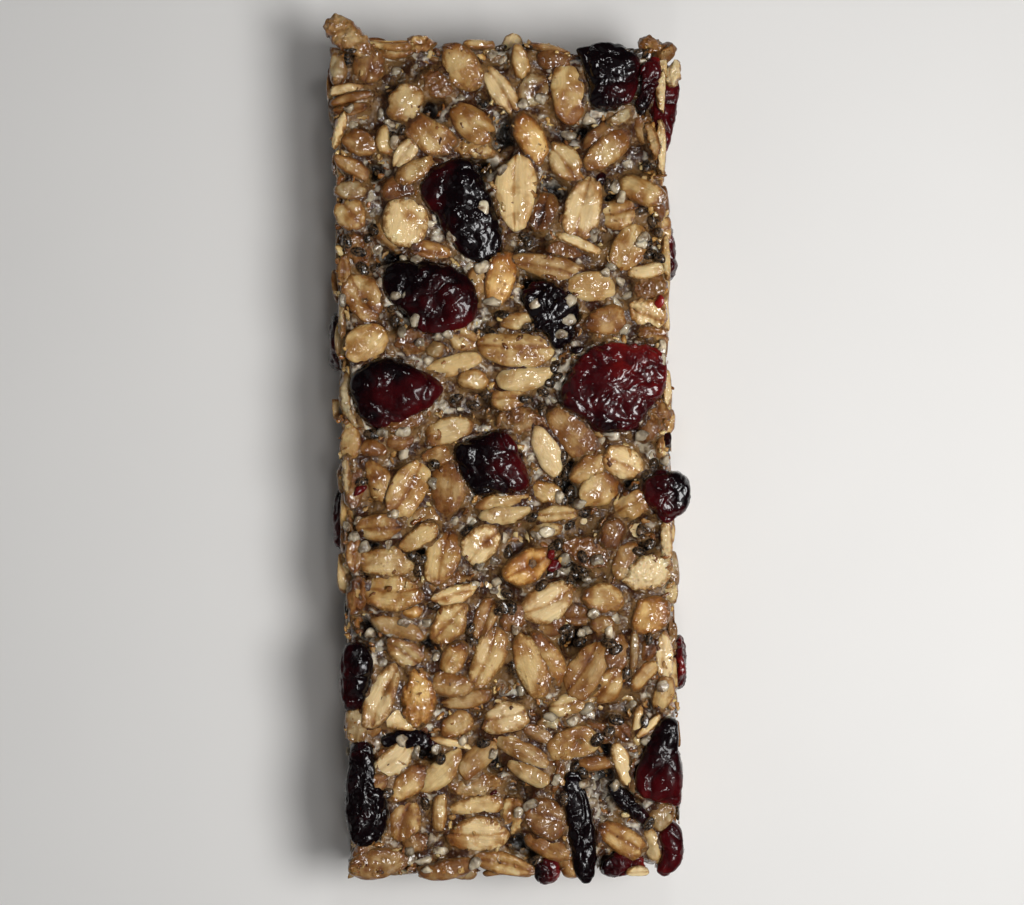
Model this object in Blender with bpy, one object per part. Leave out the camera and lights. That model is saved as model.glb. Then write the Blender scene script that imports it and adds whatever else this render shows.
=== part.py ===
"""Granola bar: a pressed slab of rolled oats, seeds and grains with dried cranberries in it.

The slab is one solid out to its uneven outline. Each cranberry is a solid of its own that
sits in a pocket of the slab with a thin gap all round. Millimetres are used below and
turned to metres when a mesh is made. The origin is the centre of the flat base, +Y runs
along the bar and +Z points up.
"""

import math
import random

import bmesh
import bpy
import numpy as np
from mathutils import Matrix, Vector

MM = 0.001

# the slab
LENGTH = 102.0          # between the rough ends, at the base
WIDTH = 42.4            # between the cut sides, at the base
HEIGHT = 15.0           # base to the top of the pressed mass, without its flakes
TAPER = 1.1             # how much each cut side leans in by the top
END_TAPER = 0.5         # the same for each end
SHORT_END = 1.1         # the far end is shorter than the rest on its right half
CELL = 2.45             # spacing of the points on the slab's faces
EDGE_ROUND = 0.9        # how far the top edges and the upright corners are worn in

# the oat flakes that show as lumps on the slab
FLAKE_LENGTH = (5.2, 7.6)
FLAKE_WIDTH = (3.0, 4.4)
FLAKE_PITCH = 4.1       # spacing of the flakes over a face
TOP_LUMP = 1.55         # how far the highest flake stands out of the top
END_LUMP = 0.75         # the same on the rough ends
SIDE_LUMP = 0.45        # the same on the cut sides, where the knife has flattened them

# the cranberries
POCKET_GAP = 0.35       # between a cranberry and its pocket
BASE_GAP = 0.12         # a cranberry in the base stops this far above it
WRINKLE = 0.07          # depth of the folds as a share of the radius

# One row per cranberry: name, centre x and y, highest point, then its size along its own
# length, across it and upwards, and the turn of its length from +X in degrees.
TOP_CRANBERRIES = [
    ("far_right", 13.0, 45.7, 17.5, 8.6, 8.2, 7.0, 20),
    ("far_folded", 18.75, 44.7, 16.9, 7.6, 2.9, 7.0, 72),
    ("far_upper", -4.7, 30.3, 17.0, 12.4, 8.6, 7.0, 85),
    ("upper_left", -8.9, 19.8, 17.3, 10.8, 8.8, 7.2, 8),
    ("upper_middle", 5.7, 17.0, 16.9, 8.2, 7.0, 6.8, 80),
    ("left_round", -13.0, 8.0, 17.7, 10.8, 8.7, 7.4, 3),
    ("right_large", 13.5, 8.0, 17.8, 12.8, 10.8, 7.6, 15),
    ("middle", -1.7, -0.7, 17.4, 8.8, 7.8, 7.2, -48),
    ("right_proud", 19.6, -5.2, 17.3, 7.0, 6.3, 7.4, 80),
    ("left_upright", -18.9, -26.5, 16.9, 8.6, 4.4, 7.2, 86),
    ("left_long", -18.0, -40.9, 17.1, 12.6, 5.4, 7.6, 92),
    ("left_under", -12.5, -34.5, 15.9, 6.8, 2.7, 5.0, 4),
    ("right_lower", 17.7, -37.6, 17.5, 10.6, 5.6, 7.4, 84),
    ("near_right", 19.0, -48.3, 16.4, 6.8, 3.8, 7.0, 74),
    ("near_left_leg", 7.9, -45.3, 16.7, 13.0, 3.0, 6.2, 88),
    ("near_right_leg", 14.4, -42.8, 16.2, 5.8, 1.9, 5.0, -52),
    ("near_foot", 13.2, -50.1, 16.2, 5.0, 3.0, 5.6, 6),
    ("near_middle", 3.9, -50.6, 16.2, 3.4, 2.7, 5.2, 75),
]
SIDE_CRANBERRIES = [
    ("far_flap", 21.9, 42.2, 15.8, 11.6, 2.1, 8.2, 83),
    ("right_thin", 20.9, -26.1, 12.6, 7.4, 2.1, 6.6, 88),
    ("right_hidden", 20.6, 25.2, 11.2, 8.2, 2.9, 6.4, 90),
    ("left_dark", -20.6, 15.0, 11.8, 7.4, 2.7, 6.2, 91),
    ("left_low", -20.7, -7.2, 9.2, 8.0, 2.7, 5.4, 88),
    ("far_end", -5.2, 50.2, 10.4, 8.4, 3.2, 6.2, 2),
    ("near_end", -9.2, -50.3, 9.8, 8.8, 3.2, 6.0, -3),
]
BASE_CRANBERRIES = [
    ("base_far", 7.4, 33.0, 4.4, 9.6, 7.4, 6.2, 35),
    ("base_left", -9.8, 4.0, 4.6, 10.2, 8.2, 6.6, 70),
    ("base_right", 9.0, -15.4, 4.2, 8.8, 7.4, 6.0, -20),
    ("base_near", -6.4, -37.6, 4.4, 9.8, 7.6, 6.4, 15),
]

# a flake that stands out past the far left corner: x, y, top, length, width, depth, turn
CORNER_FLAKE = (-18.0, 51.6, 16.1, 7.4, 3.0, 3.4, -38)

OAT_COLOUR = (0.42, 0.27, 0.14, 1.0)
CRANBERRY_COLOUR = (0.055, 0.009, 0.012, 1.0)


def clear_scene():
    for old in list(bpy.data.objects):
        bpy.data.objects.remove(old, do_unlink=True)


def make_material(name, colour, roughness):
    material = bpy.data.materials.new(name)
    material.use_nodes = True
    shader = material.node_tree.nodes["Principled BSDF"]
    shader.inputs["Base Color"].default_value = colour
    shader.inputs["Roughness"].default_value = roughness
    shader.inputs["Metallic"].default_value = 0.0
    return material


def make_object(name, mesh, material=None):
    thing = bpy.data.objects.new(name, mesh)
    bpy.context.collection.objects.link(thing)
    if material:
        mesh.materials.append(material)
    return thing


def mesh_from(builder, name):
    """Turns a bmesh in millimetres into a mesh in metres with its faces pointing out."""
    bmesh.ops.recalc_face_normals(builder, faces=builder.faces)
    bmesh.ops.scale(builder, vec=(MM, MM, MM), verts=builder.verts)
    mesh = bpy.data.meshes.new(name)
    builder.to_mesh(mesh)
    builder.free()
    return mesh


class FlakeField:
    """Overlapping domed flakes spread over a flat face, read as a height."""

    def __init__(self, low, high, seed):
        rng = random.Random(seed)
        columns = math.ceil((high[0] - low[0]) / FLAKE_PITCH)
        rows = math.ceil((high[1] - low[1]) / FLAKE_PITCH)
        flakes = []
        for column in range(columns + 1):
            for row in range(rows + 1):
                x = low[0] + (column + rng.uniform(-0.4, 0.4)) * FLAKE_PITCH
                y = low[1] + (row + rng.uniform(-0.4, 0.4)) * FLAKE_PITCH
                turn = rng.uniform(0, math.pi)
                length = rng.uniform(*FLAKE_LENGTH)
                width = rng.uniform(*FLAKE_WIDTH)
                flakes.append((x, y, turn, length, width, rng.uniform(0.35, 1.0)))
        self.flakes = np.array(flakes)

    def height(self, x, y):
        """From 0 between the flakes to 1 on the crown of the highest flake."""
        centre_x, centre_y, turn, length, width, rise = self.flakes.T
        along = (x - centre_x) * np.cos(turn) + (y - centre_y) * np.sin(turn)
        across = (y - centre_y) * np.cos(turn) - (x - centre_x) * np.sin(turn)
        inside = 1 - (2 * along / length) ** 2 - (2 * across / width) ** 2
        return float(np.max(rise * np.sqrt(np.clip(inside, 0, 1))))


def slab_mesh():
    """A box cut into cells, leaned in towards the top and pushed out into flakes."""
    builder = bmesh.new()
    bmesh.ops.create_cube(builder, size=1)
    size = Vector((WIDTH, LENGTH, HEIGHT))
    for axis in range(3):
        cells = round(size[axis] / CELL)
        normal = Vector([float(i == axis) for i in range(3)])
        for step in range(1, cells):
            everything = builder.verts[:] + builder.edges[:] + builder.faces[:]
            point = normal * (step / cells - 0.5)
            bmesh.ops.bisect_plane(builder, geom=everything, plane_co=point, plane_no=normal)
    base = [face for face in builder.faces if face.normal.z < -0.5]
    bmesh.ops.dissolve_faces(builder, faces=base, use_verts=True)

    top = FlakeField((-WIDTH / 2, -LENGTH / 2), (WIDTH / 2, LENGTH / 2), 11)
    sides = {sign: FlakeField((-LENGTH / 2, 0), (LENGTH / 2, HEIGHT), 20 + sign) for sign in (-1, 1)}
    ends = {sign: FlakeField((-WIDTH / 2, 0), (WIDTH / 2, HEIGHT), 30 + sign) for sign in (-1, 1)}
    for vert in builder.verts:
        unit = vert.co * 2
        level = (unit.z + 1) / 2
        sign_x = 1 if unit.x > 0 else -1
        sign_y = 1 if unit.y > 0 else -1
        side, end = abs(unit.x) ** 12, abs(unit.y) ** 24
        x = unit.x * (WIDTH / 2 - TAPER * level ** 2)
        y = unit.y * (LENGTH / 2 - END_TAPER * level ** 2)
        z = HEIGHT * level
        worn = EDGE_ROUND * max(side * end, side * level ** 14, end * level ** 14)
        if unit.y > 0 and unit.x > 0.3:
            y -= SHORT_END * end
        lump_side = SIDE_LUMP * sides[sign_x].height(y, z) - worn
        lump_end = END_LUMP * ends[sign_y].height(x, z) - worn
        lump_top = TOP_LUMP * top.height(x, y) - worn
        vert.co.x = x + sign_x * side * lump_side
        vert.co.y = y + sign_y * end * lump_end
        vert.co.z = z + lump_top * level ** 8
    bmesh.ops.triangulate(builder, faces=builder.faces)
    return mesh_from(builder, "slab")


def lump_builder(length, width, depth, seed, wrinkle):
    """A closed wrinkled lump about the origin, squarer than an ellipsoid."""
    rng = random.Random(seed)
    phases = [rng.uniform(0, math.tau) for _ in range(4)]
    large = length * width > 45
    segments = 12 if large else 8
    rings = 7 if large else 5
    builder = bmesh.new()
    bmesh.ops.create_uvsphere(builder, u_segments=segments, v_segments=rings, radius=0.5)
    for vert in builder.verts:
        heading = math.atan2(vert.co.y, vert.co.x)
        flat = min(1.0, 2 * math.hypot(vert.co.x, vert.co.y))
        fold = math.sin(3 * heading + phases[0]) + 0.7 * math.sin(5 * heading + phases[1])
        dent = math.sin(6 * vert.co.z + phases[2] + 2 * math.sin(heading + phases[3]))
        square = 1 + 0.09 * (1 - math.cos(4 * heading)) / 2
        swell = square * (1 + wrinkle * (0.6 * fold * flat + 0.5 * dent))
        vert.co = Vector((vert.co.x * length, vert.co.y * width, vert.co.z * depth)) * swell
    return builder


def place_lump(builder, x, y, top, depth, turn):
    spin = Matrix.Rotation(math.radians(turn), 4, "Z")
    shift = Matrix.Translation((x, y, top - depth / 2))
    bmesh.ops.transform(builder, matrix=shift @ spin, verts=builder.verts)


def trim_at_base(builder):
    """Cuts off what would reach below the base and closes the cut with a flat face."""
    everything = builder.verts[:] + builder.edges[:] + builder.faces[:]
    floor = Vector((0, 0, BASE_GAP))
    cut = bmesh.ops.bisect_plane(
        builder, geom=everything, plane_co=floor, plane_no=(0, 0, -1), clear_outer=True
    )
    rim = [item for item in cut["geom_cut"] if isinstance(item, bmesh.types.BMEdge)]
    bmesh.ops.edgeloop_fill(builder, edges=rim)
    bmesh.ops.triangulate(builder, faces=[f for f in builder.faces if len(f.verts) > 4])


def make_cranberry(row, seed, material, pockets, in_base):
    """One cranberry, and the cutter a little larger than it that makes its pocket."""
    name, x, y, top, length, width, depth, turn = row
    berry = lump_builder(length, width, depth, seed, WRINKLE)
    place_lump(berry, x, y, top, depth, turn)
    if in_base:
        trim_at_base(berry)
    thing = make_object("cranberry_" + name, mesh_from(berry, name), material)
    thing.data.shade_smooth()

    room = 2 * POCKET_GAP
    pocket = lump_builder(length + room, width + room, depth + room, seed, WRINKLE)
    place_lump(pocket, x, y, top + POCKET_GAP, depth + room, turn)
    cutter = bpy.data.objects.new("pocket_" + name, mesh_from(pocket, "pocket_" + name))
    cutter.hide_render = True
    cutter.display_type = "WIRE"
    pockets.objects.link(cutter)


def add_boolean(thing, operation, collection):
    change = thing.modifiers.new(operation.lower(), "BOOLEAN")
    change.operation = operation
    change.solver = "EXACT"
    change.operand_type = "COLLECTION"
    change.collection = collection


def make_collection(name):
    collection = bpy.data.collections.new(name)
    bpy.context.scene.collection.children.link(collection)
    return collection


def make_slab(material):
    slab = make_object("bar", slab_mesh(), material)
    x, y, top, length, width, depth, turn = CORNER_FLAKE
    flake = lump_builder(length, width, depth, 5, 0.0)
    place_lump(flake, x, y, top, depth, turn)
    additions = make_collection("additions")
    corner = bpy.data.objects.new("corner_flake", mesh_from(flake, "corner_flake"))
    corner.hide_render = True
    corner.display_type = "WIRE"
    additions.objects.link(corner)
    add_boolean(slab, "UNION", additions)
    return slab


def main():
    clear_scene()
    oats = make_material("pressed_oats", OAT_COLOUR, 0.55)
    skin = make_material("dried_cranberry", CRANBERRY_COLOUR, 0.3)
    slab = make_slab(oats)
    pockets = make_collection("pockets")
    rows = TOP_CRANBERRIES + SIDE_CRANBERRIES + BASE_CRANBERRIES
    for seed, row in enumerate(rows, start=100):
        make_cranberry(row, seed, skin, pockets, row in BASE_CRANBERRIES)
    add_boolean(slab, "DIFFERENCE", pockets)


main()
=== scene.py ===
import math
import random
from functools import partial

import bpy
import numpy as np
from mathutils import Matrix, Vector, noise


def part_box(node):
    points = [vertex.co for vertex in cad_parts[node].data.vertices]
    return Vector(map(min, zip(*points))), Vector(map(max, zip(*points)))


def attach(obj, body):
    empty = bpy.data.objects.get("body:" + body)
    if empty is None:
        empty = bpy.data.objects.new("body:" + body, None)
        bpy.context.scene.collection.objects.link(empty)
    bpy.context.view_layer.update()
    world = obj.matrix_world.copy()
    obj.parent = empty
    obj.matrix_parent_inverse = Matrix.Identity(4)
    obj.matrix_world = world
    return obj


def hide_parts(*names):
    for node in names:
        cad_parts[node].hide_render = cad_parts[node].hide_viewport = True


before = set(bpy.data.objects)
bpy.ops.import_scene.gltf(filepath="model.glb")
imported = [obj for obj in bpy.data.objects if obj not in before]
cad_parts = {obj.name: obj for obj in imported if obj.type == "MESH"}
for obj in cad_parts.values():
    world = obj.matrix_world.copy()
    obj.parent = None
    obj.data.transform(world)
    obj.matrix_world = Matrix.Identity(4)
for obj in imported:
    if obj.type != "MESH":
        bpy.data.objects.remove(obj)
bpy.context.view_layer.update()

# Lengths are in millimetres below and turned to metres when a mesh is made.
# +Y runs along the bar, +X across it and +Z up, with z = 0 at the flat base.
mm = 0.001


def nodeBox(name):
    low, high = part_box(name)
    return np.array(low) / mm, np.array(high) / mm


barLow, barHigh = nodeBox("bar")

# the shape that the whole mass is pressed into: walls lean in a little towards the top
mould = {
    "halfWidth": (barHigh[0] - barLow[0]) / 2 - 0.35,
    "halfLength": 51.3,
    "lean": 1.15,            # how much each long side leans in by the top
    "endLean": 0.5,
    "shortEnd": 1.1,         # the far end's right half is shorter
    "top": 17.1,             # nothing but fruit stands higher
    "topGive": 1.3,          # how softly the top is pressed flat
    "sideGive": 0.7,         # a knife leaves the long sides flatter ...
    "endGive": 1.3,          # ... than the ends
    "base": 0.3,
    "rim": 14.4,             # the pieces on the sides and the ends stay below this
}


def wallX(y, z):
    level = np.clip(z / mould["top"], 0, 1)
    wave = 0.13 * np.sin(y * 0.31) + 0.10 * np.sin(y * 0.83 + 1.7)
    return mould["halfWidth"] - mould["lean"] * level ** 2 + wave


def wallY(x, z, sign):
    level = np.clip(z / mould["top"], 0, 1)
    wave = 0.24 * np.sin(x * 0.45 + sign) + 0.17 * np.sin(x * 1.1)
    short = mould["shortEnd"] * np.clip((x - 5) / 4, 0, 1) * (sign > 0)
    return mould["halfLength"] - mould["endLean"] * level ** 2 - short + wave


def giveTo(over, give):
    # how far past a line a point still is after it is pressed back towards the line
    soft = -give + give * (1 - np.exp(-np.maximum(over + give, 0) / give))
    return np.where(over > -give, soft, over)


def pressed(points, free=False, past=0.0):
    # presses points into the mould, or to a little past it; a free piece only keeps above the base
    x, y, z = points[:, 0].copy(), points[:, 1].copy(), points[:, 2].copy()
    if not free:
        z = mould["top"] + giveTo(z - mould["top"], mould["topGive"])
        limit = wallX(y, z) + 0.4 * past
        x = np.sign(x) * (limit + giveTo(np.abs(x) - limit, mould["sideGive"]))
        limit = wallY(x, z, np.sign(y)) + past
        y = np.sign(y) * (limit + giveTo(np.abs(y) - limit, mould["endGive"]))
    z = 0.02 - giveTo(0.02 - z, mould["base"])
    return np.column_stack([x, y, z])


def linearColour(hexText):
    values = [int(hexText[i:i + 2], 16) / 255 for i in (1, 3, 5)]
    linear = [v / 12.92 if v <= 0.04045 else ((v + 0.055) / 1.055) ** 2.4 for v in values]
    return (*linear, 1.0)


def makeWobble(rng, scale, waves=7, flat=False):
    # a smooth random field made of a few waves about scale millimetres long
    directions = np.array([[rng.gauss(0, 1) for _ in range(3)] for _ in range(waves)])
    if flat:
        directions[:, 2] = 0
    directions /= np.linalg.norm(directions, axis=1)[:, None]
    directions *= np.array([[rng.uniform(0.7, 1.6)] for _ in range(waves)]) * math.tau / scale
    phases = np.array([rng.uniform(0, math.tau) for _ in range(waves)])

    def field(points):
        return np.sin(points @ directions.T + phases).sum(axis=1) / math.sqrt(waves)
    return field


# Small closed pieces: a flat-sided pebble on a square grid bent to a disc.
def makeGrid(columns, rows, bothSides=False):
    a, b = np.meshgrid(np.linspace(-1, 1, columns + 1), np.linspace(-1, 1, rows + 1), indexing="ij")
    discX = (a * np.sqrt(1 - b ** 2 / 2)).ravel()
    discY = (b * np.sqrt(1 - a ** 2 / 2)).ravel()
    index = np.arange(a.size).reshape(a.shape)
    inner = ((np.abs(a) < 0.999) & (np.abs(b) < 0.999)).ravel()
    quads, corners = [], []
    cells = [(i, j) for i in range(columns) for j in range(rows)]
    for i, j in cells:
        ring = [(i, j), (i + 1, j), (i + 1, j + 1), (i, j + 1)]
        quads.append([index[c] for c in ring])
        # the upper face takes most of the room in the texture, the lower face the rest
        corners.append([(0.02 + 0.70 * c[0] / columns, 0.02 + 0.96 * c[1] / rows) for c in ring])
    if bothSides:
        x, y = np.concatenate([discX, discX[inner]]), np.concatenate([discY, discY[inner]])
        side = np.concatenate([np.ones(a.size), -np.ones(inner.sum())])
        lowIndex = index.ravel().copy()
        lowIndex[inner] = a.size + np.arange(inner.sum())
        lowIndex = lowIndex.reshape(a.shape)
        for i, j in cells:
            ring = [(i, j), (i, j + 1), (i + 1, j + 1), (i + 1, j)]
            quads.append([lowIndex[c] for c in ring])
            corners.append([(0.75 + 0.23 * c[0] / columns, 0.02 + 0.96 * c[1] / rows) for c in ring])
    else:
        # the lower face, which lies in the mass, is a plain fan
        x, y = np.append(discX, 0), np.append(discY, 0)
        side = np.append(np.ones(a.size), -1)
        rim = list(index[:-1, 0]) + list(index[-1, :-1]) + list(index[:0:-1, -1]) + list(index[0, :0:-1])
        place = [(0.865 + 0.11 * discX[k], 0.5 + 0.46 * discY[k]) for k in rim]
        for k in range(0, len(rim), 2):
            ring = [k, (k + 1) % len(rim), (k + 2) % len(rim)]
            quads.append([a.size, rim[ring[2]], rim[ring[1]], rim[ring[0]]])
            corners.append([(0.865, 0.5), place[ring[2]], place[ring[1]], place[ring[0]]])
    return {
        "shape": a.shape,
        "reach": np.clip(np.hypot(x, y), 0, 1),
        "angle": np.arctan2(y, x),
        "side": side,
        "quads": np.array(quads),
        "corners": np.array(corners),
    }


grids = {
    "fine": makeGrid(26, 15), "middle": makeGrid(16, 10), "coarse": makeGrid(12, 8),
    "strip": makeGrid(20, 6),
    "whole": makeGrid(24, 14, True), "seed": makeGrid(10, 6, True), "crumb": makeGrid(6, 4),
}


def pebble(grid, length, width, thick, outline=None, boxy=1.0):
    # boxy 1 is an ellipsoid; smaller values give a flatter top with a thick rim
    bend = grid["reach"] * math.pi / 2
    grow = 1 if outline is None else outline(grid["angle"])
    out = np.sin(bend) * grow
    x = out * np.cos(grid["angle"]) * length / 2
    y = out * np.sin(grid["angle"]) * width / 2
    z = grid["side"] * np.clip(np.cos(bend), 0, 1) ** boxy * thick / 2
    return np.column_stack([x, y, z])


def turned(points, turn, tilt, roll=0.0):
    # rolls about the piece's own length, turns it about +Z, then tips it by two slopes
    matrix = Matrix.Rotation(math.radians(turn), 3, "Z") @ Matrix.Rotation(math.radians(roll), 3, "X")
    up = Vector((-tilt[0], -tilt[1], 1)).normalized()
    lean = Vector((0, 0, 1)).rotation_difference(up).to_matrix()
    return points @ np.array(lean @ matrix).T


# Each side of the bar is a face that keeps the height of what lies on it so far.

def rolled(field, cell, radius):
    # fills what a ball of this radius can't get into, so that steps end in a fillet
    reach = int(radius / cell)
    for sign in (1, -1):
        result = field.copy()
        for i in range(-reach, reach + 1):
            for j in range(-reach, reach + 1):
                far = math.hypot(i, j) * cell
                if far > radius or far == 0:
                    continue
                drop = radius - math.sqrt(radius ** 2 - far ** 2)
                moved = np.roll(field, (i, j), (0, 1)) - sign * drop
                result = np.maximum(result, moved) if sign > 0 else np.minimum(result, moved)
        field = result
    return field


def blurred(field, cell, radius):
    reach = max(1, int(round(2.5 * radius / cell)))
    weights = np.exp(-(np.arange(-reach, reach + 1) * cell / radius) ** 2)
    weights /= weights.sum()
    for axis in (0, 1):
        pad = [(0, 0), (0, 0)]
        pad[axis] = (reach, reach)
        wide = np.pad(field, pad, mode="edge")
        field = sum(w * np.take(wide, np.arange(field.shape[axis]) + k, axis)
                    for k, w in enumerate(weights))
    return field


class Face:
    def __init__(self, across, up, low, high, cell):
        self.across, self.up = np.array(across, float), np.array(up, float)
        self.outward = np.cross(self.across, self.up)
        self.basis = np.column_stack([self.across, self.up, self.outward])
        self.low, self.high, self.cell = low, high, cell
        margin = 5
        self.a0, self.b0 = low[0] - margin, low[1] - margin
        self.a, self.b = np.meshgrid(np.arange(self.a0, high[0] + margin, cell),
                                     np.arange(self.b0, high[1] + margin, cell), indexing="ij")
        self.heights = np.zeros_like(self.a)
        self.flakes = np.zeros_like(self.a)      # 1 where a flake or a seed lies
        self.fruit = np.zeros_like(self.a)       # 1 where a fruit lies
        self.milk = np.zeros_like(self.a)

    def world(self, local):
        return local @ self.basis.T

    def local(self, points):
        return points @ self.basis

    def pick(self, field, a, b):
        # the field between its own points
        u = np.clip((np.asarray(a) - self.a0) / self.cell, 0, field.shape[0] - 1.001)
        v = np.clip((np.asarray(b) - self.b0) / self.cell, 0, field.shape[1] - 1.001)
        i, j = u.astype(int), v.astype(int)
        u, v = u - i, v - j
        return ((field[i, j] * (1 - u) + field[i + 1, j] * u) * (1 - v)
                + (field[i, j + 1] * (1 - u) + field[i + 1, j + 1] * u) * v)

    def height(self, a, b):
        return float(self.pick(self.heights, a, b))

    def slope(self, a, b, reach=0.5):
        return ((self.height(a + reach, b) - self.height(a - reach, b)) / (2 * reach),
                (self.height(a, b + reach) - self.height(a, b - reach)) / (2 * reach))

    def window(self, a, b, reach):
        i, j = int((a - reach - self.a0) / self.cell), int((b - reach - self.b0) / self.cell)
        count = int(2 * reach / self.cell) + 2
        return slice(max(i, 0), max(i + count, 1)), slice(max(j, 0), max(j + count, 1))

    def lay(self, grid, points, mark=None):
        # records a piece's upper face, closely enough that no cell is missed
        rows = self.local(points)[:grid["shape"][0] * grid["shape"][1]].reshape(*grid["shape"], 3)
        for axis in (0, 1):
            rows = np.moveaxis(rows, axis, 0)
            dense = np.empty((2 * len(rows) - 1, *rows.shape[1:]))
            dense[::2], dense[1::2] = rows, (rows[1:] + rows[:-1]) / 2
            rows = np.moveaxis(dense, 0, axis)
        self.record(rows.reshape(-1, 3), mark)

    def record(self, spots, mark=None):
        i = np.round((spots[:, 0] - self.a0) / self.cell).astype(int)
        j = np.round((spots[:, 1] - self.b0) / self.cell).astype(int)
        fits = (i >= 0) & (j >= 0) & (i < self.heights.shape[0]) & (j < self.heights.shape[1])
        i, j, level = i[fits], j[fits], spots[fits, 2]
        if mark is not None:
            over = level > self.heights[i, j]
            mark[i[over], j[over]] = 1
            if mark is self.flakes:
                self.fruit[i[over], j[over]] = 0
        np.maximum.at(self.heights, (i, j), level)

    def settle(self, a, b, turn, length, width, thick, sink, steepest):
        # rests a flat piece on what is already there: its middle height and its two slopes
        cosT, sinT = math.cos(math.radians(turn)), math.sin(math.radians(turn))
        view = self.window(a, b, max(length, width) / 2 + 0.5)
        awayA, awayB = self.a[view] - a, self.b[view] - b
        along = (awayA * cosT + awayB * sinT) / (length / 2)
        across = (awayB * cosT - awayA * sinT) / (width / 2)
        under = along ** 2 + across ** 2 < 0.8
        level = self.heights[view][under]
        awayA, awayB = awayA[under], awayB[under]
        fit = np.linalg.lstsq(np.column_stack([awayA, awayB, np.ones(len(level))]), level, rcond=None)[0]
        ease = 0.85 * min(1.0, steepest / max(math.hypot(fit[0], fit[1]), 1e-6))
        slope = (fit[0] * ease, fit[1] * ease)
        rest = np.percentile(level - slope[0] * awayA - slope[1] * awayB, 60)
        return rest + thick * (0.5 - sink), slope

    def finishHeights(self):
        around = rolled(self.heights, self.cell, 2.0)
        self.around = blurred(around, self.cell, 1.6)

    def depth(self, points, clear, span):
        # 0 at the level around a point, 1 deep in a gap
        local = self.local(points)
        level = self.pick(self.around, local[:, 0], local[:, 1])
        return np.clip((level - clear - local[:, 2]) / span, 0, 1)


faces = {
    "top": Face((1, 0, 0), (0, 1, 0), (-20.6, -51.0), (20.6, 51.0), 0.25),
    "right": Face((0, 1, 0), (0, 0, 1), (-50.5, 0.8), (50.5, 14.4), 0.3),
    "left": Face((0, -1, 0), (0, 0, 1), (-50.5, 0.8), (50.5, 14.4), 0.3),
    "far": Face((-1, 0, 0), (0, 0, 1), (-20.2, 0.8), (20.2, 14.4), 0.3),
    "near": Face((1, 0, 0), (0, 0, 1), (-20.2, 0.8), (20.2, 14.4), 0.3),
    "base": Face((1, 0, 0), (0, -1, 0), (-20.8, -50.6), (20.8, 50.6), 0.35),
}
topFace = faces["top"]
for name, face in faces.items():
    if name == "top":
        face.heights += (12.9 + 0.4 * np.sin(face.a * 0.5 + 1) * np.sin(face.b * 0.37)
                         + 0.3 * np.sin(face.a * 1.3) * np.sin(face.b * 1.1))
    elif name == "base":
        face.heights += -1.5
    elif name in ("right", "left"):
        face.heights += wallX(face.a * face.across[1], face.b) - 1.5
    else:
        face.heights += wallY(face.a * face.across[0], face.b, face.outward[1]) - 1.7


class Batch:
    # gathers many small closed pieces that become one mesh

    def __init__(self):
        self.points, self.quads, self.corners, self.values = [], [], [], {}
        self.count = 0

    def add(self, grid, points, values):
        self.points.append(points)
        self.quads.append(grid["quads"] + self.count)
        self.corners.append(grid["corners"])
        for name, value in values.items():
            value = np.asarray(value, dtype=float)
            if value.ndim == 0 or value.ndim == 1 and len(value) != len(points):
                value = np.tile(value, (len(points), 1)) if value.ndim else np.full(len(points), value)
            self.values.setdefault(name, []).append(value)
        self.count += len(points)

    def object(self, name, material, slot):
        # each piece gets one cell of the texture
        across = math.ceil(math.sqrt(len(self.points)))
        cells = [(c + np.array([i % across, i // across])) / across for i, c in enumerate(self.corners)]
        points = np.vstack(self.points)
        # how deep each point lies, for the painted shade in gaps
        self.values["paintedGapShade"] = paintedGapShade(points, *gap["pieces"])
        piece = makeMesh(name, points, np.vstack(self.quads), material, self.values, np.vstack(cells))
        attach(piece, "root")
        return piece


# painted shade: how far under the level around it a place starts to be painted darker, and over how much
# more it is painted black
gap = {"pieces": (1.15, 2.2), "syrup": (0.7, 1.8)}


def paintedGapShade(points, clear, span):
    # how deep a place lies, for the painted shade in gaps: it is deep only when it is deep seen from every
    # side
    return np.min([face.depth(points, clear, span) for face in faces.values()], axis=0)


def makeMesh(name, points, quads, material, values=None, corners=None):
    mesh = bpy.data.meshes.new(name)
    mesh.vertices.add(len(points))
    mesh.vertices.foreach_set("co", (points * mm).astype(np.float32).ravel())
    if isinstance(quads, np.ndarray):
        starts, around = np.arange(0, quads.size, quads.shape[1]), quads.ravel()
    else:
        sizes = np.array([len(q) for q in quads])
        starts, around = np.cumsum(sizes) - sizes, np.concatenate(quads)
    mesh.loops.add(len(around))
    mesh.loops.foreach_set("vertex_index", around.astype(np.int32))
    mesh.polygons.add(len(starts))
    mesh.polygons.foreach_set("loop_start", starts.astype(np.int32))
    mesh.update(calc_edges=True)
    for key, parts in (values or {}).items():
        stacked = np.concatenate(parts) if isinstance(parts, list) else parts
        kind, field = {1: ("FLOAT", "value"), 3: ("FLOAT_VECTOR", "vector"), 4: ("FLOAT_COLOR", "color")}[
            1 if stacked.ndim == 1 else stacked.shape[1]]
        layer = mesh.attributes.new(key, kind, "POINT")
        layer.data.foreach_set(field, stacked.astype(np.float32).ravel())
    if corners is not None:
        layer = mesh.uv_layers.new(name="OFBake")
        layer.data.foreach_set("uv", corners.astype(np.float32).ravel())
    mesh.validate()
    mesh.shade_smooth()
    mesh.materials.append(material)
    thing = bpy.data.objects.new(name, mesh)
    bpy.context.scene.collection.objects.link(thing)
    return thing


# what a kind such as "Math.ADD" or "Mix.MULTIPLY" sets after its dot
modeOf = {
    "Math": "operation", "Mix": "blend_type", "MapRange": "interpolation_type",
    "TexNoise": "noise_type", "TexVoronoi": "feature",
}


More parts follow.
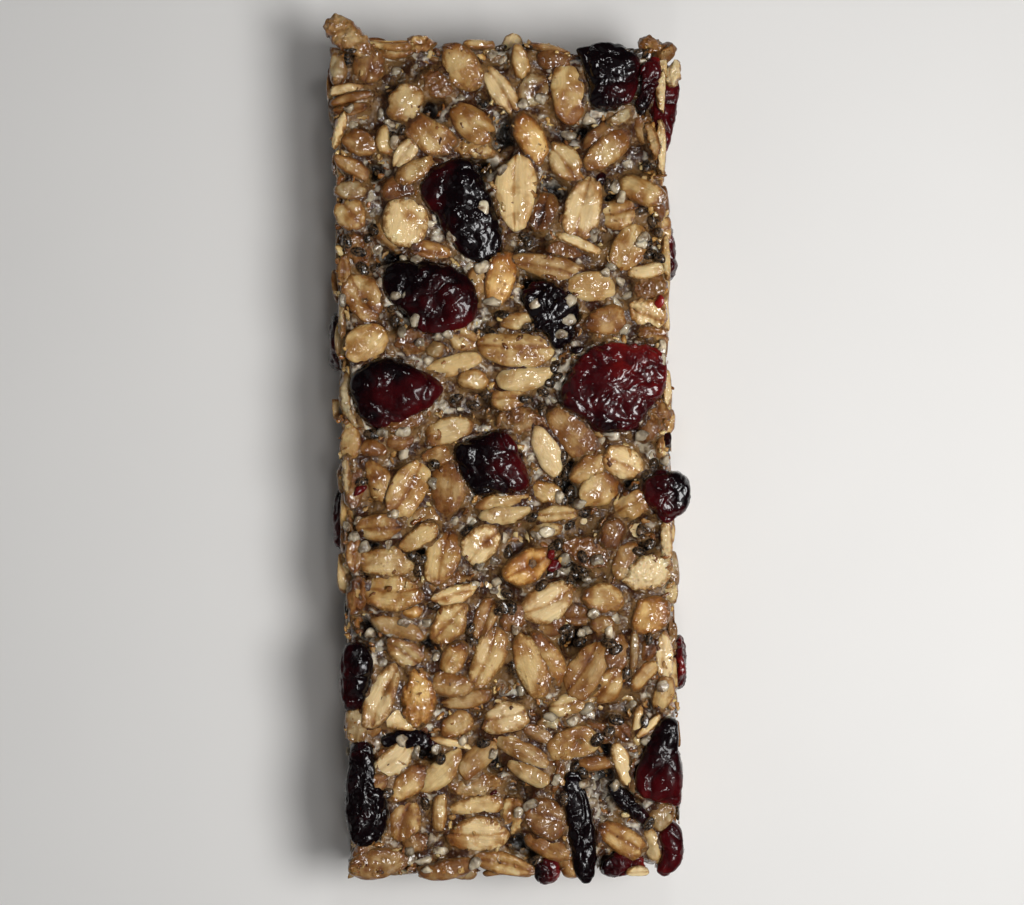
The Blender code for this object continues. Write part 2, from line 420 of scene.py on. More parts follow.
def addNode(tree, kind, *values, out=0, **named):
    # values go to the sockets in the order shown; a name with a capital is a socket, others are
    # the node's own settings. It gives the output asked for, by its place or its name.
    kind, _, mode = kind.partition(".")
    node = tree.nodes.new("ShaderNode" + kind)
    if kind == "Mix":
        node.data_type = "RGBA"
    if mode:
        setattr(node, modeOf[kind], mode)
    for key in [key for key in named if key[0].islower()]:
        setattr(node, key, named.pop(key))
    shown = [socket for socket in node.inputs if socket.enabled]
    pairs = [*zip(shown, values), *((node.inputs[key], value) for key, value in named.items())]
    for socket, value in pairs:
        if isinstance(value, bpy.types.NodeSocket):
            tree.links.new(value, socket)
        else:
            socket.default_value = linearColour(value) if isinstance(value, str) else value
    if isinstance(out, str):
        return node.outputs[out]
    return [socket for socket in node.outputs if socket.enabled][out]


def newMaterial(name, fixed):
    material = bpy.data.materials.new(name)
    material.use_nodes = True
    shader = material.node_tree.nodes["Principled BSDF"]
    for key, value in fixed.items():
        shader.inputs[key].default_value = value
    return material, partial(addNode, material.node_tree), shader


def wire(shader, links):
    for key, socket in links.items():
        shader.id_data.links.new(socket, shader.inputs[key])


# Rolled oats, steamed, flattened between rollers and baked in syrup: milky cream lobes with
# faint lengthwise streaks, amber to brown where syrup has soaked in along the crease, the rim
# and the ends, and a film of set syrup whose lumps break the light into small glints.
oatFinish = {
    # from clean starch to syrup burnt on
    "ramp": ((0.0, "#e3cd9f"), (0.28, "#b8925c"), (0.5, "#966735"),
             (0.72, "#845325"), (0.88, "#653a18"), (1.0, "#48250e")),
    "roughness": 0.5,
    "ior": 1.45,
    "bleedMm": 1.2,              # how far light spreads through the starch
    "streakMm": 0.25,            # drawn coarser than the real streaks
    "stainMm": 2.3,              # size of a soaked patch
    "creaseMm": 0.20,
    "speck": "#74401c",
    "creep": "#7c592f",
    "gap": "#1c0d06",            # painted shade: the colour a flake is drawn toward deep in a gap
    "filmMm": 0.95,              # size of a lump in the set film
    "filmHeightMm": 0.38,
    "coatRoughness": 0.05,
    # heights in mm of what stands out from or is sunk in its face
    "relief": {"streaks": 0.05, "starch": 0.05, "mottle": 0.10, "granules": -0.35, "crease": -0.05},
}


def makeOat():
    look = oatFinish
    material, add, shader = newMaterial("bakedRolledOat", {
        "IOR": look["ior"], "Specular IOR Level": 0.2, "Coat Roughness": look["coatRoughness"],
        "Coat IOR": 1.6, "Subsurface Weight": 0.35, "Subsurface Radius": (1.0, 0.66, 0.36),
        "Subsurface Scale": look["bleedMm"] * mm})
    grain = add("Attribute", out="Vector", attribute_name="flakeGrain")
    tint = add("Attribute", out="Color", attribute_name="flakeTint")
    marks = add("Attribute", out="Vector", attribute_name="flakeMarks")
    stain, crease, rim = add("SeparateXYZ", marks, out=slice(3))
    state = add("Attribute", out="Vector", attribute_name="flakeState")
    wet, crumb, specks = add("SeparateXYZ", state, out=slice(3))
    deep = add("Attribute", out="Fac", attribute_name="paintedGapShade")

    patches = add("TexNoise", grain, Scale=1 / look["stainMm"], Detail=2.0, Roughness=0.5, Distortion=0.4)
    mottle = add("TexNoise", grain, Scale=1.9, Detail=4.0, Roughness=0.6)
    fine = add("TexNoise", grain, Scale=6.0, Detail=3.0, Roughness=0.6)
    along = add("Mapping", grain, Scale=(0.3, 1 / look["streakMm"], 1.0))
    streak = add("TexNoise", along, Scale=1.0, Detail=3.0, Roughness=0.55, Distortion=0.7)

    # how deeply the syrup and the heat have browned each place, from 0 to 1
    creaseAt = add("Math.ADD", crease, add("Math.MULTIPLY_ADD", mottle, 0.42, -0.21))
    creaseAt = add("Math.ABSOLUTE", creaseAt)
    halo = add("MapRange.SMOOTHSTEP", creaseAt, 0.75, 0.0, 0.0, 0.16)
    line = add("MapRange.SMOOTHSTEP", creaseAt, look["creaseMm"] * 2.0, 0.0, 0.0, 1.0)
    patchy = add("MapRange", patches, 0.36, 0.66, -0.19, 0.25)
    rimSoak = add("MapRange.SMOOTHSTEP", rim, 0.38, 0.85, 0.0, 0.5)
    rimSoak = add("Math.MULTIPLY", rimSoak, add("MapRange", mottle, 0.35, 0.6, 0.0, 1.3))
    clean = add("MapRange", rim, 0.0, 0.55, -0.16, 0.0)
    brown = stain
    for part in (patchy, halo, rimSoak, clean):
        brown = add("Math.ADD", brown, part)
    brown = add("Math.MULTIPLY_ADD", line, 0.16, brown)
    brown = add("Math.ADD", add("Math.MULTIPLY_ADD", mottle, 0.16, -0.08), brown)
    ramp = add("ValToRGB", brown)
    stops = ramp.node.color_ramp.elements
    while len(stops) < len(look["ramp"]):
        stops.new(0.5)
    for stop, (at, hexText) in zip(stops, look["ramp"]):
        stop.position, stop.color = at, linearColour(hexText)
    colour = add("Mix.MULTIPLY", 1.0, ramp, tint)
    shade = add("MapRange", streak, 0.3, 0.7, 0.9, 1.1)
    colour = add("Mix.MULTIPLY", 1.0, colour, shade)
    # bits of dark bran
    cells = add("TexVoronoi", grain, Scale=0.75)
    speckEdge = add("Math.SUBTRACT", add("Math.MULTIPLY", specks, 0.22), cells)
    speckMask = add("MapRange", speckEdge, -0.06, 0.12, 0.0, 0.8)
    colour = add("Mix", speckMask, colour, look["speck"])
    # the syrup creeps over a flake's border, further in some places than in others
    creep = add("Math.MULTIPLY_ADD", mottle, 0.7, rim)
    creep = add("MapRange.SMOOTHSTEP", creep, 0.86, 1.22, 0.0, 0.7)
    colour = add("Mix", creep, colour, look["creep"])
    # painted shade: deep in a gap the flake is drawn nearly black, as if in shadow
    paintedShadeMix = add("MapRange", deep, 0.0, 1.0, 0.0, 0.95)
    colour = add("Mix", paintedShadeMix, colour, look["gap"])

    # relief: streaks, starch grain, the crease and crumbly granules
    granule = add("Math.MULTIPLY", add("TexVoronoi.SMOOTH_F1", grain, Scale=1.7), crumb)
    parts = {"streaks": streak, "starch": fine, "mottle": mottle, "granules": granule, "crease": line}
    relief = 0.0
    for name, height in look["relief"].items():
        relief = add("Math.MULTIPLY_ADD", parts[name], height, relief)
    bump = add("Bump", Distance=mm, Height=relief)
    # the film lies over the flake in lumps of its own
    film = add("TexNoise", grain, Scale=1 / look["filmMm"], Detail=1.0, Roughness=0.3, Distortion=0.3)
    coatBump = add("Bump", Distance=look["filmHeightMm"] * 2 * mm, Height=film)
    wetNoise = add("MapRange", patches, 0.38, 0.62, -0.3, 0.5)
    wetHere = add("Math.ADD", wet, wetNoise, use_clamp=True)
    coat = add("MapRange", wetHere, 0.05, 0.9, 0.12, 1.0)
    rough = add("MapRange", wetHere, 0.0, 1.0, look["roughness"], 0.34)
    wire(shader, {"Base Color": colour, "Roughness": rough, "Normal": bump, "Coat Weight": coat,
                  "Coat Normal": coatBump})
    return material


# Oat dust and starch boiled down in syrup and set: a half clear brown gel, milky where starch
# lies in it and amber where it is clear, very glossy, and painted nearly black as shade where it lies deep.
syrupFinish = {
    "gel": "#7a5a34",
    "amber": "#3a1d0a",
    "milk": "#e2d6c0",
    "stain": "#3c180b",          # where the juice of the fruit has run in
    # gap: painted shade, what the syrup is drawn toward where it lies deep in a gap
    "gap": "#0c0503",
    "roughness": 0.42,
    "coatRoughness": 0.05,
    "ior": 1.55,
    "lumpMm": 0.9,               # size of a swollen starch grain
    "bleedMm": 1.1,
    "relief": {"lumps": 0.18, "fine": 0.03},     # in mm
}


def makeSyrup():
    look = syrupFinish
    material, add, shader = newMaterial("setOatSyrup", {
        "Roughness": look["roughness"], "IOR": look["ior"], "Specular IOR Level": 0.15,
        "Coat Roughness": look["coatRoughness"], "Coat IOR": look["ior"],
        "Subsurface Weight": 0.35, "Subsurface Radius": (1.0, 0.6, 0.35),
        "Subsurface Scale": look["bleedMm"] * mm})
    place = add("Attribute", out="Vector", attribute_name="syrupGrain")
    milk = add("Attribute", out="Fac", attribute_name="syrupMilk")
    deep = add("Attribute", out="Fac", attribute_name="paintedGapShade")
    broad = add("TexNoise", place, Scale=0.42, Detail=5.0, Roughness=0.65)
    lumps = add("TexNoise", place, Scale=1 / look["lumpMm"], Detail=0.6, Roughness=0.4, Distortion=0.5)
    fine = add("TexNoise", place, Scale=4.5, Detail=3.0, Roughness=0.6)
    blend = add("MapRange", broad, 0.44, 0.56, 0.0, 1.0)
    colour = add("Mix", blend, look["gel"], look["amber"])
    milky = add("Math.MULTIPLY_ADD", lumps, 3.2, -1.38)
    milky = add("Math.ADD", milk, milky, use_clamp=True)
    milkMix = add("MapRange", milky, 0.1, 0.9, 0.0, 0.85)
    colour = add("Mix", milkMix, colour, look["milk"])
    stainNoise = add("TexNoise", place, Scale=0.75, Detail=4.0, Roughness=0.65)
    stainMask = add("MapRange", stainNoise, 0.55, 0.66, 0.0, 0.85)
    colour = add("Mix", stainMask, colour, look["stain"])
    shade = add("MapRange", fine, 0.32, 0.68, 0.82, 1.14)
    colour = add("Mix.MULTIPLY", 1.0, colour, shade)
    # painted shade: the syrup is drawn nearly black where it lies deep in a gap
    paintedShadeMix = add("MapRange", deep, 0.0, 0.85, 0.0, 0.97)
    colour = add("Mix", paintedShadeMix, colour, look["gap"])
    relief = add("Math.MULTIPLY", lumps, look["relief"]["lumps"])
    relief = add("Math.MULTIPLY_ADD", fine, look["relief"]["fine"], relief)
    bump = add("Bump", Distance=mm, Height=relief)
    film = add("TexNoise", place, Scale=1.0, Detail=1.0, Roughness=0.35, Distortion=0.8)
    coatBump = add("Bump", Distance=0.9 * mm, Height=film)
    coat = add("MapRange", broad, 0.3, 0.5, 0.55, 1.0)
    bare = add("MapRange", milk, -0.6, 0.0, 0.7, 1.0)
    coat = add("Math.MULTIPLY", coat, bare)
    wire(shader, {"Base Color": colour, "Normal": bump, "Coat Weight": coat, "Coat Normal": coatBump})
    return material


# Sweetened dried cranberry: a leathery skin shrunk into sharp folds with painted shade deep in them,
# near black in its depth and wine red where light gets through, sticky with broken wet highlights.
cranberryFinish = {
    "dark": "#0a0204",
    "red": "#44080c",
    "bright": "#851a15",
    "bloom": "#1c1016",          # dull sugar bloom on the ridges
    "fold": "#070203",           # painted shade deep in a fold
    "roughness": 0.30,
    "coatRoughness": 0.05,
    "ior": 1.47,
    "foldMm": 1.0,               # spacing of the finer creases
    "filmMm": 1.5,               # size of a lump in the wet film
    "filmHeightMm": 0.28,
}


def makeCranberry():
    look = cranberryFinish
    material, add, shader = newMaterial("driedCranberrySkin", {
        "Roughness": look["roughness"], "IOR": look["ior"], "Specular IOR Level": 0.04,
        "Coat Weight": 0.75, "Coat Roughness": look["coatRoughness"],
        "Subsurface Weight": 0.25, "Subsurface Radius": (1.0, 0.12, 0.10), "Subsurface Scale": 1.2 * mm})
    place = add("Attribute", out="Vector", attribute_name="berryGrain")
    marks = add("Attribute", out="Vector", attribute_name="berryMarks")
    red, fold, pleat = add("SeparateXYZ", marks, out=slice(3))
    broad = add("TexNoise", place, Scale=0.33, Detail=4.0)
    warp = add("TexNoise", place, Scale=0.7, Detail=2.0, out="Color")
    bent = add("Mix.ADD", 0.8, place, warp)
    ridges = add("TexNoise.RIDGED_MULTIFRACTAL", bent, Scale=1 / look["foldMm"], Detail=3.0, Roughness=0.5)
    creases = add("TexVoronoi.DISTANCE_TO_EDGE", bent, Scale=0.45)
    fine = add("TexNoise", bent, Scale=3.4, Detail=3.0)
    redEdge = add("Math.MULTIPLY_ADD", broad, 1.1, -0.55)
    redEdge = add("Math.ADD", red, redEdge)
    redMask = add("MapRange.SMOOTHSTEP", redEdge, 0.1, 0.8, 0.0, 1.0)
    colour = add("Mix", redMask, look["dark"], look["red"])
    brightMask = add("MapRange", redEdge, 0.8, 1.25, 0.0, 1.0)
    colour = add("Mix", brightMask, colour, look["bright"])
    bloom = add("MapRange", ridges, 0.75, 1.5, 0.0, 0.55)
    bloom = add("Math.MULTIPLY", bloom, pleat, use_clamp=True)
    colour = add("Mix", bloom, colour, look["bloom"])
    # painted shade: the skin is drawn near black down in the valleys of its folds
    paintedFoldShade = add("MapRange", fold, 0.3, 1.0, 0.0, 0.75)
    colour = add("Mix", paintedFoldShade, colour, look["fold"])
    crease = add("MapRange.SMOOTHSTEP", creases, 0.0, 0.12, -0.03, 0.0)
    relief = add("Math.MULTIPLY_ADD", ridges, 0.2, crease)
    relief = add("Math.MULTIPLY", relief, add("Math.POWER", pleat, 1.5))
    # some of the skin is drawn smooth
    smoothZone = add("TexNoise", place, Scale=0.28, Detail=1.0)
    smoothZone = add("MapRange", smoothZone, 0.42, 0.56, 0.15, 1.25)
    relief = add("Math.MULTIPLY", relief, smoothZone)
    relief = add("Math.MULTIPLY_ADD", fine, 0.05, relief)
    bump = add("Bump", Distance=mm, Height=relief)
    film = add("TexNoise", bent, Scale=1 / look["filmMm"], Detail=0.0, Distortion=0.6)
    wrinkle = add("TexNoise.RIDGED_MULTIFRACTAL", bent, Scale=0.8, Detail=1.0)
    wrinkle = add("Math.MULTIPLY", wrinkle, add("Math.MULTIPLY", pleat, smoothZone))
    lumpy = add("MapRange", pleat, 0.3, 0.8, look["filmHeightMm"] * 1.2, look["filmHeightMm"] * 2)
    coatRelief = add("Math.MULTIPLY", film, lumpy)
    coatRelief = add("Math.MULTIPLY_ADD", wrinkle, 0.16, coatRelief)
    coatBump = add("Bump", Distance=mm, Height=coatRelief)
    coat = add("MapRange", pleat, 0.3, 0.75, 0.35, 0.75)
    wire(shader, {"Base Color": colour, "Normal": bump, "Coat Weight": coat, "Coat Normal": coatBump})
    return material


# Chia seed coat: hard, smooth and marbled dark grey and brown, wet with syrup.
chiaFinish = {
    "dark": "#070403", "mid": "#5a442e", "pale": "#c4a87e", "roughness": 0.34,
    "marbleMm": 0.42,            # drawn a little coarser than the real marbling
}


def makeChia():
    look = chiaFinish
    material, add, shader = newMaterial("chiaSeedCoat", {
        "Roughness": look["roughness"], "Specular IOR Level": 0.12, "Coat Weight": 0.9,
        "Coat Roughness": 0.05})
    place = add("Attribute", out="Vector", attribute_name="seedGrain")
    shade = add("Attribute", out="Fac", attribute_name="seedShade")
    marble = add("TexNoise", place, Scale=1 / look["marbleMm"], Detail=3.0, Distortion=1.4)
    streak = add("TexNoise.RIDGED_MULTIFRACTAL", place, Scale=1.3, Detail=2.0, Distortion=2.5)
    mask = add("MapRange", marble, 0.44, 0.62, 0.0, 1.0)
    colour = add("Mix", mask, look["dark"], look["mid"])
    line = add("MapRange", streak, 1.0, 1.5, 0.0, 0.6)
    colour = add("Mix", line, colour, look["pale"])
    colour = add("Mix.MULTIPLY", 1.0, colour, shade)
    film = add("TexNoise", place, Scale=1.1, Detail=0.0, Distortion=0.4)
    bump = add("Bump", Distance=0.12 * mm, Height=marble)
    coatBump = add("Bump", Distance=0.4 * mm, Height=film)
    wire(shader, {"Base Color": colour, "Normal": bump, "Coat Normal": coatBump})
    return material


# Amaranth and crushed oat swollen in syrup: milky and half clear, with a soft wet shine.
grainFinish = {"milk": "#c4b59a", "clear": "#654f38", "roughness": 0.36, "bleedMm": 0.9}


def makeGrain():
    look = grainFinish
    material, add, shader = newMaterial("soakedPaleGrain", {
        "Roughness": look["roughness"], "Specular IOR Level": 0.2, "Coat Weight": 0.9,
        "Coat Roughness": 0.05,
        "Subsurface Weight": 0.6, "Subsurface Radius": (1.0, 0.85, 0.62),
        "Subsurface Scale": look["bleedMm"] * mm})
    place = add("Attribute", out="Vector", attribute_name="seedGrain")
    shade = add("Attribute", out="Fac", attribute_name="seedShade")
    cloud = add("TexNoise", place, Scale=0.8, Detail=2.0, Roughness=0.5)
    film = add("TexNoise", place, Scale=1.3, Detail=1.0, Distortion=0.5)
    mask = add("MapRange", cloud, 0.36, 0.6, 0.0, 1.0)
    colour = add("Mix", mask, look["clear"], look["milk"])
    colour = add("Mix.MULTIPLY", 1.0, colour, shade)
    bump = add("Bump", Distance=0.12 * mm, Height=cloud)
    coatBump = add("Bump", Distance=0.35 * mm, Height=film)
    wire(shader, {"Base Color": colour, "Normal": bump, "Coat Normal": coatBump})
    return material


print("materials")
oatMaterial = makeOat()
syrupMaterial = makeSyrup()
cranberryMaterial = makeCranberry()
chiaMaterial = makeChia()
grainMaterial = makeGrain()


# Dried cranberries, one entry per fruit, by its node. Fruit on the top has its outline in x and y;
# the others are rounded off in their node's box, turned as given. red: how red the skin is;
# toward: which way the red lies, in degrees from +X; fold: spacing of the big folds in mm; pleat:
# how sharply it is creased; rim: how far the edge of its top lies below the crown.
cranberries = {
    "far_right": dict(red=0.02, toward=-40, fold=2.6, pleat=0.7, rim=1.5, outline=[
        (9.8, 49.5), (10.4, 48), (11.3, 45), (11, 43), (13, 41.8), (15, 42.3), (16.6, 44), (17.3, 46),
        (17.3, 48), (16, 49.6), (12.8, 50.2)]),
    "far_folded": dict(red=0.45, toward=50, fold=2.0, pleat=0.6, rim=1.1, outline=[
        (17.4, 47), (18.4, 48), (19.6, 48.2), (19.9, 46), (19.2, 44.3), (18.5, 42.6), (17.4, 41.4),
        (16.7, 42.6), (17.5, 44.6)]),
    "far_upper": dict(red=0.12, toward=190, fold=3.4, pleat=0.5, rim=1.5, outline=[
        (-8, 35.8), (-4, 36.5), (-2.6, 35), (-1.2, 32), (-0.6, 30), (0, 27), (-0.6, 25), (-2, 24),
        (-4.5, 24.5), (-6, 26.5), (-7.6, 29), (-9.3, 31.5), (-9.4, 33.5)]),
    "upper_left": dict(red=0.28, toward=-70, fold=3.2, pleat=0.4, rim=1.6, outline=[
        (-14.6, 22), (-13.6, 23.6), (-11, 24.2), (-7, 23.8), (-4.5, 22.5), (-3.4, 20), (-3.2, 17.5),
        (-4.6, 15.9), (-7, 15.4), (-9.5, 15.3), (-11, 16.5), (-12.2, 18), (-13.8, 19.5)]),
    "upper_middle": dict(red=-0.05, toward=90, fold=2.2, pleat=0.7, rim=1.5, outline=[
        (2.5, 20), (5, 21.3), (8, 20.2), (9.3, 18.3), (9, 16), (8.2, 14), (6.2, 13), (5.4, 14.8), (4, 15.5),
        (3.2, 17.2)]),
    "left_round": dict(red=0.34, toward=-50, fold=3.8, pleat=0.35, rim=1.8, outline=[
        (-18.6, 9.3), (-17.2, 11.3), (-14.5, 12.3), (-11.5, 11.7), (-9.2, 10.2), (-7.7, 8.6), (-8.6, 6.6),
        (-11, 5), (-14, 3.9), (-16.6, 4.4), (-18.2, 6)]),
    "right_large": dict(red=0.66, toward=70, fold=2.5, pleat=0.75, rim=1.7, outline=[
        (7.2, 9), (8.6, 11), (11, 13), (14, 13.6), (17.2, 13.4), (19.2, 12.2), (19.8, 9), (19.3, 7.4),
        (17.4, 5.2), (15.5, 3.2), (12.6, 2.7), (10.6, 3.2), (9, 4.8), (7.2, 6.6)]),
    "middle": dict(red=0.24, toward=15, fold=2.8, pleat=0.5, rim=1.6, outline=[
        (-6, 1.4), (-4, 2.4), (-1.2, 3.3), (0.4, 2.5), (1.6, 0.8), (2.4, -1.6), (2.6, -3.6), (0.8, -4.4),
        (-1.8, -4.4), (-4, -4.2), (-5.4, -2.2), (-6.2, 0)]),
    "right_proud": dict(red=0.30, toward=200, fold=3.0, pleat=0.62, rim=1.8, outline=[
        (16.8, -3), (18.6, -2), (20.8, -2.4), (22.2, -3.6), (22.4, -5.4), (21.6, -7), (20.2, -8.3),
        (18.8, -8.2), (17.4, -6.4), (16.7, -4.6)]),
    "left_upright": dict(red=0.18, toward=180, fold=2.8, pleat=0.45, rim=1.5, outline=[
        (-20.3, -23), (-19, -22.2), (-17.2, -23.4), (-16.8, -25.5), (-17.4, -27.6), (-18.2, -29.8),
        (-20.3, -30.4), (-20.8, -27), (-20.7, -25)]),
    "left_long": dict(red=0.05, toward=180, fold=1.9, pleat=0.5, rim=1.5, outline=[
        (-19.6, -34.8), (-17.4, -34.8), (-16.6, -38.6), (-15.6, -41), (-15.4, -44), (-16.2, -46),
        (-18, -47.2), (-19.6, -46.6), (-20.4, -44.4), (-20.6, -41), (-20.2, -37.4)]),
    "left_under": dict(red=-0.05, toward=0, fold=1.8, pleat=0.6, rim=1.0, outline=[
        (-15.8, -34.2), (-14, -33.3), (-11.4, -33.2), (-9.4, -34), (-9.4, -35.2), (-11.6, -35.7),
        (-14, -35.6), (-15.6, -35.4)]),
    "right_lower": dict(red=0.42, toward=-80, fold=3.8, pleat=0.3, rim=1.5, outline=[
        (19.7, -32.6), (18, -32.6), (16.4, -35), (15.4, -37.4), (14.9, -38.9), (15.4, -41.2), (16.6, -42.3),
        (18.4, -42.5), (20.2, -42.8), (20.5, -40), (20.4, -36), (20.2, -33.4)]),
    "near_right": dict(red=0.66, toward=180, fold=3.2, pleat=0.35, rim=1.2, outline=[
        (19, -45), (17.6, -46.5), (17.9, -48.6), (17.6, -49.8), (17.2, -51), (18.4, -51.6), (20.2, -50.4),
        (20.8, -48.2), (20.4, -46.2)]),
    "near_left_leg": dict(red=-0.1, toward=0, fold=2.6, pleat=0.45, rim=1.0, outline=[
        (6.4, -39.2), (7.2, -38.6), (8.2, -39), (9, -41.5), (9.6, -44.5), (9.9, -47.5), (9.9, -50),
        (9.4, -51.9), (8.2, -52), (7.2, -50.4), (6.6, -46.5), (6.2, -42)]),
    "near_right_leg": dict(red=0.20, toward=-40, fold=1.7, pleat=0.5, rim=0.8, outline=[
        (11.6, -40.5), (12.8, -40.4), (14.4, -41.8), (15.8, -43.2), (16.9, -44.9), (16.2, -45.4),
        (14.4, -44.4), (12.9, -43.2), (12, -42)]),
    "near_foot": dict(red=0.58, toward=0, fold=1.8, pleat=0.9, rim=1.1, outline=[
        (10.7, -49.6), (12, -48.7), (14, -48.8), (15.7, -49.5), (15.7, -50.8), (14, -51.3), (12.2, -51.8),
        (10.8, -51.5), (10.5, -50.6)]),
    "near_middle": dict(red=0.55, toward=0, fold=1.7, pleat=0.9, rim=1.0, outline=[
        (2.6, -49.4), (4, -49), (5.1, -49.7), (5.3, -51), (4.2, -52.1), (2.8, -51.8), (2.4, -50.6)]),
    "far_flap": dict(red=0.80, toward=180, fold=2.6, pleat=0.4, rim=0.9, outline=[
        (18.7, 46.6), (19.8, 47.8), (21.3, 47.4), (22.3, 45.6), (22.2, 43.4), (21.5, 40.4), (20.6, 37.2),
        (19.6, 37.4), (18.9, 40.6), (18.6, 43.6)]),
    "right_thin": dict(face="right", red=0.50, fold=1.8, pleat=0.8, rim=0.8, turn=4),
    "right_hidden": dict(face="right", red=0.42, fold=2.5, pleat=0.8, rim=1.0, turn=-6),
    "left_dark": dict(face="left", red=0.15, fold=2.1, pleat=0.9, rim=0.9, turn=7),
    "left_low": dict(face="left", red=0.38, fold=2.4, pleat=0.7, rim=0.9, turn=-4),
    "far_end": dict(face="far", red=0.30, fold=2.6, pleat=0.7, rim=1.1, turn=5),
    "near_end": dict(face="near", red=0.36, fold=2.2, pleat=0.8, rim=1.1, turn=-5),
    "base_far": dict(face="base", red=0.24, fold=3.0, pleat=0.5, rim=0.5, turn=-35),
    "base_left": dict(face="base", red=0.32, fold=3.2, pleat=0.5, rim=0.5, turn=-70),
    "base_right": dict(face="base", red=0.18, fold=2.8, pleat=0.6, rim=0.5, turn=20),
    "base_near": dict(face="base", red=0.30, fold=2.8, pleat=0.5, rim=0.5, turn=-15),
}


berryBuild = {
    "bigMm2": 40,                # a larger fruit than this gets the finer mesh
    "fine": (96, 21), "coarse": (64, 14),      # points around it, rows over its crown
    "outlinedFlank": 10, "roundedFlank": 5,    # rows down its side
    "squareness": 2.6,           # outline of a fruit rounded off in its box; 2 is an ellipse
    "crownBelow": 0.15, "footAbove": 0.3,      # how far it keeps inside its box
    "taper": 0.22,               # how much narrower it is at its foot
    "fold": 0.24, "pleatedFold": 0.34,         # depth of its folds, and how much more where pleated
    "pressedFold": 0.20,         # the same on the base
    "pleat": 0.26, "sag": 0.16,
    "tornPleat": 0.85,           # how sharply it is creased where it was cut or torn open
}


def smoothLoop(spots, count):
    # a closed curve through the spots, cut into equal steps
    spots = np.array(spots, dtype=float)
    before, after, far = np.roll(spots, 1, 0), np.roll(spots, -1, 0), np.roll(spots, -2, 0)
    t = np.linspace(0, 1, 12, endpoint=False)[:, None, None]
    curve = 0.5 * (2 * spots + (after - before) * t
                   + (2 * before - 5 * spots + 4 * after - far) * t ** 2
                   + (3 * spots - before - 3 * after + far) * t ** 3)
    curve = np.transpose(curve, (1, 0, 2)).reshape(-1, 2)
    closed = np.vstack([curve, curve[:1]])
    run = np.concatenate([[0], np.cumsum(np.linalg.norm(np.diff(closed, axis=0), axis=1))])
    at = np.linspace(0, run[-1], count, endpoint=False)
    return np.column_stack([np.interp(at, run, closed[:, k]) for k in (0, 1)])


def crowned(point, scale, seed):
    # rounded swellings with sharp valleys between them: 0 in a valley, about 1 on a crown
    bent = point / scale + Vector((seed * 3.1, seed * 1.7, seed * 0.9))
    bent += noise.noise_vector(bent * 0.7) * 0.6
    coarse = min(1.0, abs(noise.noise(bent)) * 3.2)
    finer = min(1.0, abs(noise.noise(bent * 2.2 + Vector((5, 2, 8)))) * 3.2)
    return 0.78 * coarse ** 0.6 + 0.22 * finer ** 0.6


def pleated(point, scale, seed):
    # thin raised pleats that wander over a flat skin
    bent = point / scale + Vector((seed * 1.3, 7.0, seed * 2.1))
    bent += noise.noise_vector(bent * 0.6) * 0.8
    return max(0.0, 1 - abs(noise.noise(bent)) * 3.4)


